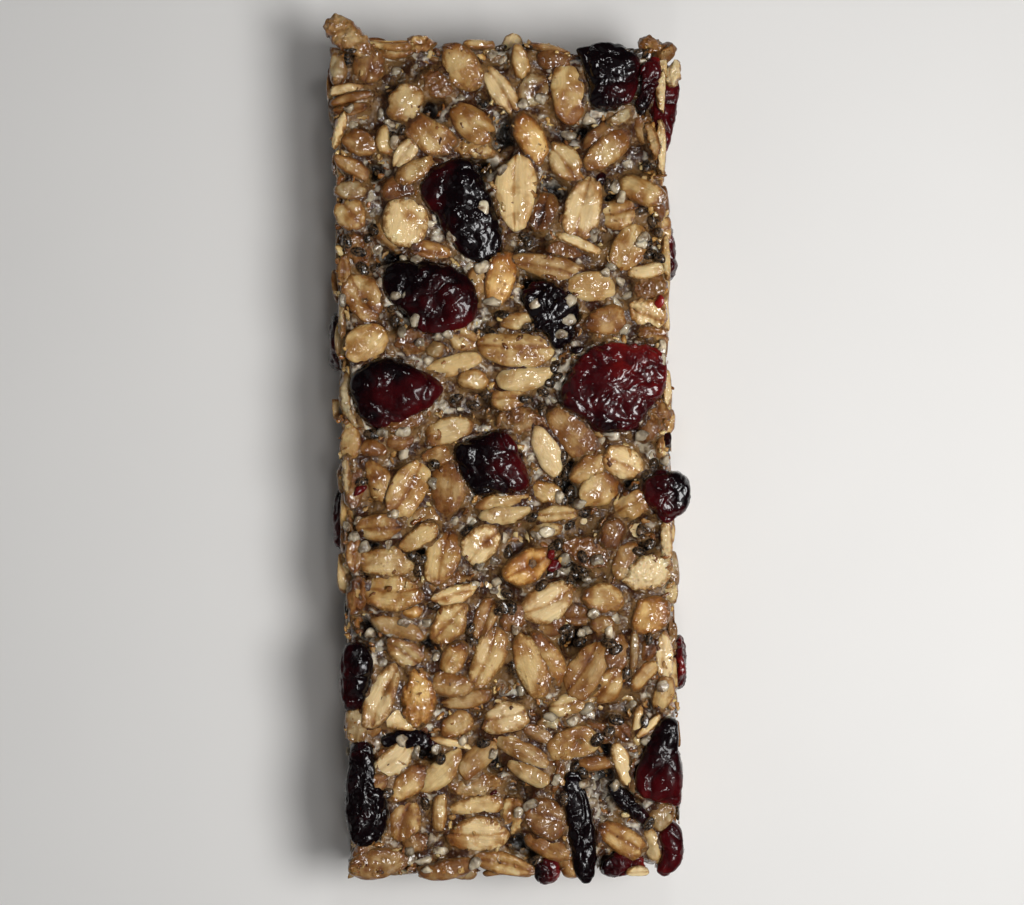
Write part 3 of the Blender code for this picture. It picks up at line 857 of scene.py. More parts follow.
def makeFruit(name, look, seed):
    low, high = nodeBox("cranberry_" + name)
    build = berryBuild
    face = faces[look.get("face", "top")]
    corners = np.sort(face.local(np.array([low, high])), axis=0)
    crown, foot = corners[1][2] - build["crownBelow"], corners[0][2] + build["footAbove"]
    rng = random.Random(seed)
    finest = build["fine"][0]
    if "outline" in look:
        loop = smoothLoop(look["outline"], finest)
    else:
        middle, half = (corners[0] + corners[1])[:2] / 2, (corners[1] - corners[0])[:2] / 2 * 0.97
        spots = []
        for k in range(11):
            angle = math.tau * k / 11
            way, square = np.array([math.cos(angle), math.sin(angle)]), build["squareness"]
            grow = rng.uniform(0.86, 1.0) / (abs(way[0]) ** square + abs(way[1]) ** square) ** (1 / square)
            spots.append(middle + half * grow * way)
        loop = smoothLoop(spots, finest)
    big = np.ptp(loop[:, 0]) * np.ptp(loop[:, 1]) > build["bigMm2"]
    around, up = build["fine" if big else "coarse"]
    if not big:
        loop = smoothLoop(loop[::4], around)
    wedge = loop[:, 0] * np.roll(loop[:, 1], -1) - np.roll(loop[:, 0], -1) * loop[:, 1]
    if wedge.sum() < 0:
        loop, wedge = loop[::-1], -wedge[::-1]
    centre = loop.mean(axis=0)
    span = np.linalg.norm(loop - centre, axis=1)
    edge = crown - look["rim"]
    rows = []
    # the crown from its middle out to the edge, then the flank down to the foot
    for k in range(1, up + 1):
        bend = k / up * math.pi / 2
        level = edge + (crown - edge) * math.cos(bend) ** 0.72
        rows.append((math.sin(bend) ** 0.80, level, min(1.0, (k / up) ** 3), (k / up) ** 4 * 0.6))
    down = build["outlinedFlank" if "outline" in look else "roundedFlank"]
    for k in range(1, down + 1):
        rows.append((1 - build["taper"] * (k / down) ** 2, edge - (edge - foot) * k / down, 1.0, 1.0))
    points = [[*centre, crown]]
    side, flank = [0.0], [0.0]
    for reach, level, lean, below in rows:
        for spot in loop:
            points.append([*(centre + (spot - centre) * reach), level])
            side.append(lean)
            flank.append(below)
    points.append([*centre, foot])
    side.append(1.0)
    flank.append(1.0)
    points, side, flank = np.array(points), np.array(side), np.array(flank)
    outward = points[:, :2] - centre
    outward /= np.maximum(np.linalg.norm(outward, axis=1), 1e-6)[:, None]
    away = np.column_stack([outward * side[:, None], np.maximum(1.0 - side, 0)])
    away /= np.maximum(np.linalg.norm(away, axis=1), 1e-6)[:, None]
    crowns = np.array([crowned(Vector(p), look["fold"], seed) for p in points])
    pleats = np.array([0.6 * pleated(Vector(p), 2.0, seed) + 0.4 * pleated(Vector(p), 0.95, seed + 40)
                       for p in points])
    sag = makeWobble(rng, 7.0, 5)(points)
    flat = look.get("face") == "base"
    # where a fruit is cut or torn open it is more creased than its skin
    torn = look["pleat"] + max(0.0, build["tornPleat"] - look["pleat"]) * flank
    depth = build["pressedFold"] if flat else build["fold"] + build["pleatedFold"] * torn
    shift = depth * (crowns - 0.8) + torn ** 2 * build["pleat"] * pleats
    shift = shift + (0.0 if flat else build["sag"]) * sag
    points = points + away * shift[:, None]
    points[-1, 2] = foot
    placed = face.world(points)
    if flat:
        placed[:, 2] = np.maximum(placed[:, 2], 0.10)
    quads = [[0, 1 + k, 1 + (k + 1) % around] for k in range(around)]
    for r in range(len(rows) - 1):
        for k in range(around):
            here, nxt = 1 + r * around + k, 1 + r * around + (k + 1) % around
            quads.append([here, here + around, nxt + around, nxt])
    last = 1 + (len(rows) - 1) * around
    quads += [[last + k, len(points) - 1, last + (k + 1) % around] for k in range(around)]
    toward = math.radians(look.get("toward", 60))
    lean = (points[:, :2] - centre) @ np.array([math.cos(toward), math.sin(toward)]) / span.max()
    # thin skin at the edge lets more red through; the flank's valleys are painted darker, as shade
    redness = look["red"] + 0.42 * lean + 0.12 * side - 0.30 * flank * (crowns < 0.8)
    # the second mark is how far down a fold a place lies, for the painted shade in folds
    marks = np.column_stack([redness, np.clip(1.05 - crowns, 0, 1) * (1 - 0.6 * side), torn])
    values = {"berryGrain": points + np.array([seed * 7.3, seed * 2.9, 0]), "berryMarks": marks}
    piece = makeMesh("cranberry." + name, placed, quads, cranberryMaterial, values)
    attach(piece, "root")
    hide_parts("cranberry_" + name)
    # every side of the bar learns where the fruit stands in it
    shell = placed[1:-1].reshape(len(rows), around, 3)
    shell = np.concatenate([shell, shell[:, :1]], axis=1)
    sheet = {"shape": shell.shape[:2]}
    for other in faces.values():
        other.lay(sheet, shell.reshape(-1, 3), other.fruit)


print("cranberries")
# the folds bend the same way in every run
noise.seed_set(5)
for seed, (name, look) in enumerate(cranberries.items(), start=1):
    makeFruit(name, look, seed)


# Hollows that stay open between the pieces: x, y, radius
hollows = [
    (10.3, 39.6, 1.0), (0.8, 39.6, 1.6), (-8.7, 42.6, 1.3), (-2.6, 36.0, 1.6), (-15.5, 35.3, 1.0),
    (-19.4, 34.2, 0.9), (6.2, 32.0, 1.4), (13.1, 31.5, 0.9), (-13.3, 25.0, 1.5), (11.5, 19.0, 1.0),
    (3.6, 21.0, 1.3), (7.2, -3.5, 1.3), (7.4, -1.0, 1.1), (15.2, -3.4, 1.0), (-18.0, -14.2, 0.9),
    (-18.0, -20.6, 1.4), (-10.6, -22.6, 1.2), (-16.6, -10.4, 0.9), (-10.8, -11.6, 0.9),
    (-9.4, -29.5, 1.0), (-4.4, -32.6, 1.2), (0.4, -47.8, 1.5), (3.0, -32.7, 1.1), (11.6, -36.0, 1.3),
    (11.2, -38.8, 1.5), (7.2, -22.4, 1.1), (8.4, -14.6, 1.1), (16.6, -11.4, 1.1), (-10.9, -35.8, 1.4),
    (-2.2, -37.6, 0.9), (-16.2, -2.0, 0.8), (2.3, -49.2, 1.0), (17.4, -30.7, 0.8), (0.6, -41.2, 1.0),
    (-12.9, 41.6, 0.8), (-3.0, -28.9, 0.9),
]

# how far the syrup and the heat have browned a flake (0 pale, 1 burnt) and its own tint
oatTones = {
    "cream": (0.00, "#f8efe4"), "pale": (0.13, "#e4d8c4"), "golden": (0.27, "#eadfca"),
    "tan": (0.38, "#d8ccbc"),
    "brown": (0.53, "#c8baac"), "orange": (0.26, "#fbe6c0"), "grey": (0.24, "#c8c6c4"),
}
toneSpread = 0.06        # how much one flake differs from the next of its tone

# Flakes on the top, from the lowest to the highest: x, y, turn, length, width, tone and what
# marks it. A turn is the angle of its length from +X; its head is the end that points that way.
lowFlakes = [
    (-18.0, 43.0, 10, 4.8, 1.7, "brown", ""), (-12.4, 49.8, 3, 4.8, 1.8, "tan", ""),
    (-7.6, 45.7, -25, 4.8, 3.4, "brown", "crumbly wet"),
    (-3.2, 37.9, -8, 5.4, 2.6, "golden", "crumbly"), (-9.2, 50.8, 0, 3.6, 2.2, "golden", "crumbly"),
    (-12.4, 33.2, 10, 4.8, 3.4, "brown", "spot wet"), (-17.0, 38.8, -20, 4.6, 3.2, "tan", "wet"),
    (7.0, 48.6, -10, 4.6, 2.8, "brown", "wet"), (6.3, 50.3, -14, 5.6, 2.0, "tan", ""),
    (12.6, 39.3, 42, 6.2, 2.4, "brown", ""), (17.7, 39.8, -60, 4.2, 2.6, "tan", "wet"),
    (-17.6, 25.6, -60, 5.0, 3.0, "brown", "crumbly wet"), (-8.3, 13.3, 20, 2.6, 2.2, "grey", ""),
    (-11.2, 14.4, 0, 4.6, 3.2, "brown", "crumbly wet"), (-2.9, 21.6, 85, 4.6, 2.8, "tan", ""),
    (-13.5, 27.4, -35, 4.6, 3.2, "tan", ""), (5.2, 29.8, 72, 5.4, 3.8, "brown", "wet heart"),
    (14.2, 29.3, 10, 5.0, 4.0, "golden", "wet"), (7.6, 24.9, -20, 4.6, 2.6, "brown", "wet"),
    (18.2, 20.4, 0, 4.6, 3.8, "brown", "crumbly wet"), (19.1, 30.2, -60, 3.6, 2.2, "brown", "wet"),
    (-12.4, 4.6, 15, 5.8, 2.4, "brown", "crumbly wet"), (-16.3, 1.4, -10, 3.8, 2.2, "brown", "wet"),
    (-13.0, 2.4, 0, 3.6, 2.8, "brown", "wet"), (-15.6, -2.6, -62, 5.6, 3.4, "golden", "spot"),
    (-8.2, 0.3, 10, 4.6, 2.8, "tan", ""), (-18.7, -3.4, 80, 5.0, 2.8, "brown", "wet"),
    (-10.6, -7.5, 25, 5.0, 3.2, "tan", "wet"), (2.0, 4.4, 0, 6.6, 3.6, "brown", "crumbly wet"),
    (4.6, -4.3, -25, 4.4, 2.6, "golden", "wet"), (18.6, 4.6, 80, 4.6, 3.6, "tan", "crumbly"),
    (17.5, 2.9, 60, 3.6, 2.6, "brown", "wet"), (-18.9, -11.6, 88, 4.6, 2.2, "tan", ""),
    (-7.2, -15.2, 10, 5.8, 3.2, "brown", "crumbly wet"), (-12.0, -18.7, 10, 3.2, 2.0, "orange", "wet"),
    (-5.6, -29.5, 10, 6.6, 2.4, "tan", ""), (-18.6, -16.5, 80, 4.8, 2.4, "brown", "crumbly"),
    (9.5, -11.8, -20, 6.0, 3.8, "brown", "crumbly wet"), (12.8, -9.6, 60, 4.4, 3.2, "brown", "wet"),
    (17.2, -19.8, 45, 5.6, 4.6, "orange", "wet dots"), (8.2, -19.5, 0, 4.0, 2.8, "brown", "wet"),
    (13.1, -24.3, 80, 5.0, 3.2, "brown", "wet"), (16.9, -24.0, 60, 3.6, 2.4, "brown", ""),
    (4.7, -9.0, 5, 4.2, 2.2, "pale", "wet"), (-17.2, -32.9, 20, 3.6, 2.2, "tan", "wet"),
    (-12.0, -46.8, 0, 3.8, 2.6, "brown", "crumbly wet"),
    (-4.6, -40.2, 2, 6.6, 3.2, "tan", "crumbly wet"), (-0.3, -43.9, 80, 4.6, 3.2, "golden", "crumbly"),
    (-16.8, -39.4, 10, 3.2, 2.2, "tan", ""), (10.3, -37.7, 0, 5.0, 2.0, "brown", ""),
    (5.0, -39.0, 80, 4.8, 2.6, "brown", "crumbly wet"), (3.0, -33.7, -30, 5.2, 2.2, "brown", "wet"),
    (13.3, -33.6, -50, 3.8, 2.4, "brown", "wet"), (6.5, -50.3, -62, 4.6, 2.2, "tan", ""),
    (4.7, -32.3, 0, 3.2, 2.6, "grey", "crumbly wet"), (14.4, -13.0, 70, 5.0, 3.2, "tan", "wet"),
    (0.6, -19.6, 40, 4.4, 3.2, "brown", "wet"), (10.6, -33.8, -30, 4.2, 2.4, "brown", "wet"),
    (-1.0, -51.3, -6, 6.0, 2.2, "brown", ""), (5.0, -20.8, 20, 4.6, 3.0, "brown", "wet"),
]
middleFlakes = [
    (-15.7, 48.2, 70, 4.8, 4.1, "tan", "wet spot"), (-19.5, 47.8, 90, 4.4, 2.4, "grey", ""),
    (-18.7, 45.5, 7, 4.8, 1.5, "cream", "edge"), (-18.0, 44.4, 12, 5.8, 1.4, "tan", "edge"),
    (-19.5, 40.4, 66, 5.0, 1.6, "cream", "edge"), (-14.0, 39.0, -80, 3.8, 2.4, "golden", "wet"),
    (-11.6, 37.4, 52, 4.2, 2.5, "cream", ""), (-18.2, 36.0, -30, 5.6, 2.1, "tan", "edge"),
    (-18.4, 33.0, 0, 4.4, 2.4, "grey", ""), (-2.2, 50.6, -4, 4.0, 1.6, "golden", "edge"),
    (-13.4, 51.0, -8, 6.2, 2.5, "golden", "crease dots"), (0.3, 45.0, -58, 7.2, 2.9, "cream", "crease"),
    (2.8, 48.3, -80, 4.8, 2.3, "golden", ""), (4.3, 44.7, 40, 4.4, 3.8, "grey", "spot wet"),
    (8.1, 35.7, -55, 6.0, 3.8, "pale", "crease"), (14.9, 41.2, 30, 3.6, 1.7, "grey", "crumbly"),
    (20.3, 47.9, 88, 4.4, 1.9, "cream", "edge"), (20.2, 44.2, 88, 5.2, 2.2, "cream", "edge"),
    (20.1, 37.4, 90, 6.8, 1.8, "cream", "edge"), (18.9, 38.2, -75, 4.8, 1.4, "tan", "edge"),
    (-18.3, 30.1, -50, 4.6, 3.8, "pale", "spot"), (-8.5, 25.4, -12, 5.8, 2.4, "golden", "toastTail"),
    (-19.3, 23.2, 85, 4.4, 1.7, "tan", ""), (-5.2, 14.7, -30, 5.0, 3.0, "golden", "crease wet"),
    (-6.0, 11.4, 12, 7.2, 2.6, "pale", "rim"), (-3.7, 9.6, -10, 4.0, 2.8, "golden", "wet"),
    (-19.6, 8.2, 88, 5.2, 1.5, "grey", "edge"), (-18.9, 5.4, -60, 3.6, 1.3, "grey", "edge"),
    (15.7, 25.4, 58, 6.2, 4.2, "golden", "rim wet"), (9.4, 25.9, -25, 6.4, 1.5, "cream", "edge"),
    (17.9, 22.3, 8, 5.2, 2.0, "cream", "edge"), (17.8, 17.2, -20, 5.2, 3.8, "cream", "crumbly"),
    (18.3, 14.7, -10, 4.0, 2.2, "tan", "crumbly"), (12.4, 16.4, 10, 5.8, 3.8, "tan", "toastTail"),
    (1.9, 16.6, 5, 4.8, 2.4, "golden", "wet"), (-18.9, 2.3, 85, 4.8, 2.8, "golden", ""),
    (-7.0, -3.6, 82, 7.4, 4.8, "tan", "dots toastHead"), (-0.6, -5.3, 10, 6.7, 2.1, "pale", ""),
    (-0.4, -7.1, 6, 6.4, 2.4, "pale", "rim"), (0.6, 7.0, 0, 5.0, 3.0, "golden", "wet"),
    (2.6, 9.6, 8, 7.6, 3.2, "pale", "wet rim"), (6.0, -7.1, 4, 5.0, 2.2, "pale", ""),
    (10.2, -1.7, 32, 5.4, 3.4, "golden", "wet"), (15.4, -6.2, 26, 5.0, 3.1, "golden", "wet rim"),
    (8.2, 2.9, -46, 7.8, 4.8, "tan", "dots"), (-14.9, -12.5, 0, 7.0, 3.6, "pale", "blocky"),
    (-8.0, -12.0, 76, 7.6, 4.6, "golden", "toastHead"), (-6.8, -16.7, 16, 5.8, 2.4, "cream", "spot"),
    (-13.7, -20.5, -20, 7.0, 2.8, "tan", "rim"), (-3.1, -19.9, 68, 5.8, 2.9, "tan", "crease"),
    (-6.9, -24.4, 60, 5.0, 3.1, "golden", "wet toastHead"),
    (-7.2, -27.8, -8, 5.6, 3.3, "golden", "wet"), (-13.0, -23.6, -36, 5.2, 3.2, "golden", "crease wet"),
    (2.5, -13.4, 26, 6.8, 4.1, "orange", "hole"), (4.7, -24.6, -62, 8.0, 3.2, "golden", "toastTail"),
    (11.8, -28.2, 52, 5.6, 3.8, "golden", ""), (15.1, -24.1, 86, 5.2, 1.3, "grey", "edge wet"),
    (16.2, -26.9, 48, 4.8, 2.3, "pale", "edge"), (18.7, -24.8, 88, 6.2, 2.5, "cream", "wet"),
    (18.7, -29.4, 74, 4.8, 2.7, "golden", ""), (11.3, -20.8, 0, 3.2, 2.8, "tan", "dots wet"),
    (-19.0, -32.4, 85, 4.4, 3.2, "grey", "blocky"), (-13.9, -31.7, -22, 5.0, 3.0, "cream", ""),
    (-6.9, -32.6, 32, 4.6, 3.2, "golden", "toastTail"), (-7.5, -34.7, -14, 5.2, 1.2, "cream", "edge"),
    (-4.3, -36.8, 42, 6.2, 3.0, "tan", "rim"), (-4.5, -42.5, 5, 7.4, 2.6, "pale", ""),
    (-13.3, -44.0, 70, 5.6, 4.2, "golden", "dots spot"),
    (-9.1, -43.2, 86, 5.2, 2.0, "golden", "edge wet"), (-8.2, -50.3, 9, 7.8, 2.8, "tan", ""),
    (1.3, -36.0, -28, 7.6, 2.6, "tan", "rim"), (1.9, -38.7, -28, 5.8, 2.4, "pale", "rim"),
    (7.4, -30.3, 14, 5.8, 2.9, "pale", "rim"), (13.3, -37.8, -73, 5.6, 2.3, "cream", "edge"),
    (15.3, -33.3, 86, 5.2, 1.6, "cream", "edge"), (16.7, -33.4, 42, 4.2, 1.1, "cream", "edge"),
    (18.0, -44.3, 60, 4.0, 3.1, "grey", "blocky"), (4.3, -47.9, -24, 6.8, 3.0, "tan", ""),
    (16.9, -47.8, -75, 4.8, 2.5, "pale", "wet"), (14.9, -51.0, 0, 2.8, 1.8, "cream", ""),
    (-18.4, -47.6, 40, 3.6, 2.0, "brown", ""), (19.0, 10.8, 85, 5.4, 1.5, "cream", "edge"),
    (20.1, 24.0, 90, 5.8, 1.5, "pale", "edge"), (20.0, 8.0, 90, 5.0, 1.4, "cream", "edge"),
    (19.4, -11.0, 88, 6.0, 1.6, "cream", "edge"), (-19.8, 17.6, 88, 5.4, 1.4, "grey", "edge"),
    (-19.6, -1.6, 86, 5.0, 1.5, "grey", "edge"),
]
highFlakes = [
    (-18.0, 51.6, -40, 7.6, 3.4, "tan", "free crumbly rim"),
    (21.5, 46.4, 70, 3.4, 1.9, "cream", "free crumbly"),
    (20.5, 48.9, 35, 3.2, 2.2, "brown", "free crumbly"),
    (18.9, 49.9, -15, 3.4, 1.9, "tan", "free crumbly dots"),
    (-11.4, 43.6, 62, 4.8, 4.2, "pale", "blocky"), (-8.4, 39.4, -30, 7.5, 4.2, "golden", "toastTail"),
    (-3.3, 40.8, -45, 6.6, 4.1, "golden", "toastTail rim"),
    (-4.6, 48.2, -60, 7.4, 4.6, "pale", "toastTail"), (-10.2, 35.2, 32, 5.6, 2.6, "golden", "wet"),
    (8.6, 44.2, -86, 7.6, 4.4, "golden", "rim toastHead"),
    (3.9, 38.9, -62, 7.0, 3.6, "orange", "toastTail"),
    (13.3, 37.3, 42, 7.2, 3.6, "golden", "wet toastHead"),
    (1.9, 32.3, 88, 9.4, 5.0, "cream", "crease rim"), (10.1, 30.2, 75, 7.9, 4.7, "cream", "crease"),
    (17.3, 32.1, -28, 6.2, 3.4, "golden", "wet"), (-11.7, 28.9, 80, 6.4, 5.6, "cream", "blocky spot"),
    (-17.0, 20.0, -55, 6.6, 5.0, "golden", "wet hole"), (-16.8, 14.3, 38, 6.0, 4.6, "golden", "rim"),
    (-0.2, 21.8, 75, 7.0, 4.1, "orange", "wet dots"), (5.4, 23.2, -12, 9.0, 3.0, "tan", "dots rim"),
    (10.7, 20.7, -3, 6.4, 3.7, "pale", "rim"), (-7.0, 3.4, 14, 6.8, 3.4, "pale", "toastTail"),
    (-12.1, -3.7, 58, 7.8, 4.6, "golden", "crease rim"),
    (-15.6, -8.2, 3, 6.0, 3.6, "golden", "toastHead"), (-10.9, -9.6, 30, 5.6, 2.5, "pale", ""),
    (1.4, 13.1, -3, 9.6, 4.6, "golden", "rim dots spot"), (5.0, 0.6, -68, 6.6, 3.2, "cream", "rim wet"),
    (11.2, -4.2, 30, 5.6, 4.2, "golden", "rim toastHead"), (14.3, -1.0, -25, 5.6, 4.1, "cream", "wet"),
    (-3.3, -10.5, 45, 5.8, 4.0, "cream", "spot"), (-14.4, -16.4, -4, 8.1, 4.5, "golden", "crease wet"),
    (-7.4, -20.1, 46, 6.4, 4.0, "golden", "crease wet"), (-2.8, -24.7, 66, 8.4, 4.1, "pale", "crease"),
    (-15.9, -29.0, 66, 8.6, 3.7, "cream", "crease spot"),
    (-11.3, -29.2, 88, 7.0, 4.4, "orange", "wet crumbly"),
    (4.8, -18.0, 27, 7.2, 4.6, "cream", "crease"), (11.4, -17.5, -4, 5.4, 3.9, "golden", "toastTail"),
    (17.0, -14.5, 22, 6.4, 4.3, "cream", "crumbly wet"), (2.5, -25.5, -72, 8.4, 4.0, "pale", ""),
    (9.3, -26.2, 57, 7.8, 4.5, "tan", "crease rim"), (-14.6, -36.9, 38, 7.2, 3.5, "cream", "crease"),
    (-12.7, -39.6, 40, 6.1, 3.3, "golden", "toastHead"), (-8.6, -38.3, 42, 7.1, 3.3, "golden", "rim"),
    (-0.9, -31.9, 12, 6.2, 3.8, "cream", "spot"), (-4.6, -46.0, 0, 8.0, 4.5, "cream", "toastTail"),
    (-16.7, -49.3, 12, 7.6, 4.0, "tan", "dots"), (-1.2, -49.9, -14, 8.0, 3.0, "golden", "crease"),
    (7.4, -35.1, 15, 7.0, 4.0, "golden", "hole wet rim"),
    (3.9, -44.2, -20, 6.2, 4.8, "brown", "crease dots"),
    (12.9, -46.9, -32, 6.8, 3.5, "golden", "toastTail"),
]


flakeForm = {
    # outline: a power of 2 is an ellipse, more is squarer
    "power": (1.85, 2.3), "cutPower": 2.3, "blockyPower": 2.9,
    "boxy": (0.46, 0.74), "cutBoxy": 0.5,
    "creased": 0.35,             # share of the unmarked flakes that show their crease
    # how brown each mark is
    "toast": 0.62, "spot": 0.50, "hole": 0.55, "heart": 0.25, "bran": 0.42, "scorch": 0.40,
    "bow": (-0.38, 0.12), "dish": (-0.28, 0.18), "twist": (-0.25, 0.25),
}


def flakeShape(grid, rng, length, width, thick, marks):
    form = flakeForm
    cut = "edge" in marks
    power = (form["blockyPower"] if "blocky" in marks else form["cutPower"] if cut
             else rng.uniform(*form["power"]))
    ripples = [(k, rng.uniform(0.01, 0.06) / k ** 0.5, rng.uniform(0, math.tau))
               for k in (2, 3, 4, 5, 7, 9)]
    chips = [(rng.uniform(-math.pi, math.pi), rng.uniform(0.05, 0.16), rng.uniform(0.10, 0.25))
             for _ in range(rng.choice((0, 1, 1, 2)))]

    def outline(angle):
        grow = (np.abs(np.cos(angle)) ** power + np.abs(np.sin(angle)) ** power) ** (-1 / power)
        for k, size, phase in ripples:
            grow = grow * (1 + size * np.cos(k * angle + phase))
        for at, size, wide in chips:
            away = np.abs((angle - at + math.pi) % math.tau - math.pi)
            grow = grow * (1 - size * np.exp(-(away / wide) ** 2))
        return grow

    points = pebble(grid, length, width, thick, outline,
                    boxy=form["cutBoxy"] if cut else rng.uniform(*form["boxy"]))
    x, y, z = points.T
    along, over = x / (length / 2), y / (width / 2)
    # wider at one end, and slightly bent in its own plane
    y = y * (1 + rng.uniform(-0.22, 0.22) * (0.3 if cut else 1) * along)
    y = y + rng.uniform(-0.10, 0.10) * (2.2 if cut else 1) * width * along ** 2
    onTop = (grid["side"] > 0) & (grid["reach"] < 0.97)
    crease = np.full(len(x), 9.0)
    creased = "crease" in marks or not cut and "blocky" not in marks and rng.random() < form["creased"]
    if creased:
        line = y - rng.uniform(-0.05, 0.05) * x ** 2 - rng.uniform(-0.25, 0.25)
        deepHere = 1.0 if "crease" in marks else 0.45
        fade = np.clip(1.15 - np.abs(along), 0, 1) ** 0.5
        dip = 0.07 * np.exp(-(line / 0.24) ** 2) + 0.17 * np.exp(-(line / (0.2 * width)) ** 2)
        z = z - np.where(onTop, fade * deepHere * dip * thick, 0)
        crease = np.where(onTop, line / np.maximum(fade, 0.25), 9.0)
    stain = np.zeros(len(x))
    for mark, way in (("toastHead", along), ("toastTail", -along)):
        if mark in marks:
            stain = np.maximum(stain, form["toast"] * np.clip((way - 0.1) / 0.9, 0, 1) ** 1.3)
    if "spot" in marks:
        away = np.hypot(x - rng.uniform(-0.2, 0.25) * length, y - rng.uniform(-0.2, 0.2) * width)
        stain = np.maximum(stain, form["spot"] * np.exp(-(away / 0.75) ** 2))
    if "hole" in marks:
        away = np.hypot(x - 0.08 * length, y)
        stain = np.maximum(stain, form["hole"] * np.exp(-(away / 0.95) ** 2))
        z = z - np.where(onTop, 0.4 * thick * np.exp(-(away / 0.7) ** 2), 0)
    if "heart" in marks:
        stain = np.maximum(stain, form["heart"] * (1 - grid["reach"]))
    if cut:
        # bran along both long edges of a cut flake
        stain = np.maximum(stain, form["bran"] * np.clip(np.abs(over) * 1.5 - 0.75, 0, 1))
    # most flakes are a little scorched somewhere on the rim
    scorch = rng.uniform(-math.pi, math.pi)
    turnAway = np.abs((grid["angle"] - scorch + math.pi) % math.tau - math.pi)
    scorched = rng.uniform(0.0, form["scorch"]) * np.exp(-(turnAway / 0.6) ** 2)
    stain = np.maximum(stain, scorched * np.clip(grid["reach"] * 1.7 - 0.8, 0, 1))
    # bowing, twisting and lumps
    z = z + rng.uniform(*form["bow"]) * along ** 2 * 0.35 * length / 6
    z = z + rng.uniform(*form["dish"]) * over ** 2 * 0.45
    z = z + rng.uniform(*form["twist"]) * along * over * 0.4
    points = np.column_stack([x, y, z])
    points[:, 2] += 0.10 * makeWobble(rng, 2.4)(points) + 0.05 * makeWobble(rng, 1.1, 9)(points)
    if "crumbly" in marks:
        for axis in range(3):
            points[:, axis] += 0.13 * makeWobble(rng, 1.1, 12)(points)
    return points, crease, stain


def addFlake(batch, grid, rng, face, place, turn, length, width, thick, tone, marks, tilt):
    points, crease, stain = flakeShape(grid, rng, length, width, thick, marks)
    grain = points + np.array([rng.uniform(-400, 400) for _ in range(3)])
    past = rng.uniform(0.2, 1.5) if face is topFace else rng.uniform(-0.5, 0.4)
    placed = pressed(face.world(turned(points, turn, tilt) + np.array(place)), "free" in marks, past)
    base, hexText = oatTones[tone]
    tint = np.array(linearColour(hexText))
    light = 1 + rng.uniform(-1, 1) * toneSpread
    warm = rng.uniform(-1, 1) * toneSpread
    tint = tint * np.array([light * (1 + warm * 0.5), light, light * (1 - warm), 1])
    wet = rng.uniform(0.7, 1.0) if "wet" in marks else rng.uniform(0.15, 0.75)
    crumb = 1.0 if "crumbly" in marks else rng.uniform(0.0, 0.12)
    specks = 1.0 if "dots" in marks else rng.choice((0.0, 0.0, 0.4))
    rim = grid["reach"] * (0.55 if "rim" in marks else rng.uniform(0.85, 1.0))
    batch.add(grid, placed, {
        "flakeGrain": grain,
        "flakeTint": tint,
        "flakeMarks": np.column_stack([stain + base + rng.uniform(-1, 1) * toneSpread, crease, rim]),
        "flakeState": np.array([wet, crumb, specks]),
    })
    face.lay(grid, placed, face.flakes)


def scatter(rng, low, high, gap, tries=9000):
    # points at random no closer than gap
    kept, cells = [], {}
    for _ in range(tries):
        spot = (rng.uniform(low[0], high[0]), rng.uniform(low[1], high[1]))
        cell = (int(spot[0] // gap), int(spot[1] // gap))
        near = [p for i in (-1, 0, 1) for j in (-1, 0, 1)
                for p in cells.get((cell[0] + i, cell[1] + j), [])]
        if all(math.hypot(spot[0] - p[0], spot[1] - p[1]) >= gap for p in near):
            kept.append(spot)
            cells.setdefault(cell, []).append(spot)
    return kept


def onFruit(face, a, b, reach):
    # whether a fruit lies within reach of a place on a face
    spots = [(a, b)] + [(a + reach * math.cos(k), b + reach * math.sin(k))
                        for k in np.arange(0, math.tau, 1.05)]
    return any(face.pick(face.fruit, *spot) > 0.3 for spot in spots)


fillTones = ["cream", "pale", "pale", "golden", "golden", "tan", "brown", "grey", "orange"]
fillMarks = ["", "", "", "crease", "wet", "wet", "toastHead", "toastTail", "crumbly wet", "spot", "dots"]

print("bed of flakes under the top")
rng = random.Random(41)
bedFlakes = Batch()
bed = {
    "gap": 3.1, "length": (4.4, 6.6), "width": (2.6, 4.0), "thick": (1.0, 1.4),
    "sink": 0.35, "steepest": 0.30, "highest": 14.6, "fruitClear": 1.6, "hollowClear": 1.2,
}
for x, y in scatter(rng, (-20.4, -50.8), (20.4, 50.8), bed["gap"]):
    if onFruit(topFace, x, y, bed["fruitClear"]):
        continue
    if any(math.hypot(x - hx, y - hy) < radius + bed["hollowClear"] for hx, hy, radius in hollows):
        continue
    turn = rng.uniform(0, 360)
    length, width, thick = [rng.uniform(*bed[key]) for key in ("length", "width", "thick")]
    level, slope = topFace.settle(x, y, turn, length, width, thick, bed["sink"], bed["steepest"])
    addFlake(bedFlakes, grids["coarse"], rng, topFace, (x, y, min(level, bed["highest"])), turn, length,
             width, thick, rng.choice(fillTones), rng.choice(fillMarks), slope)

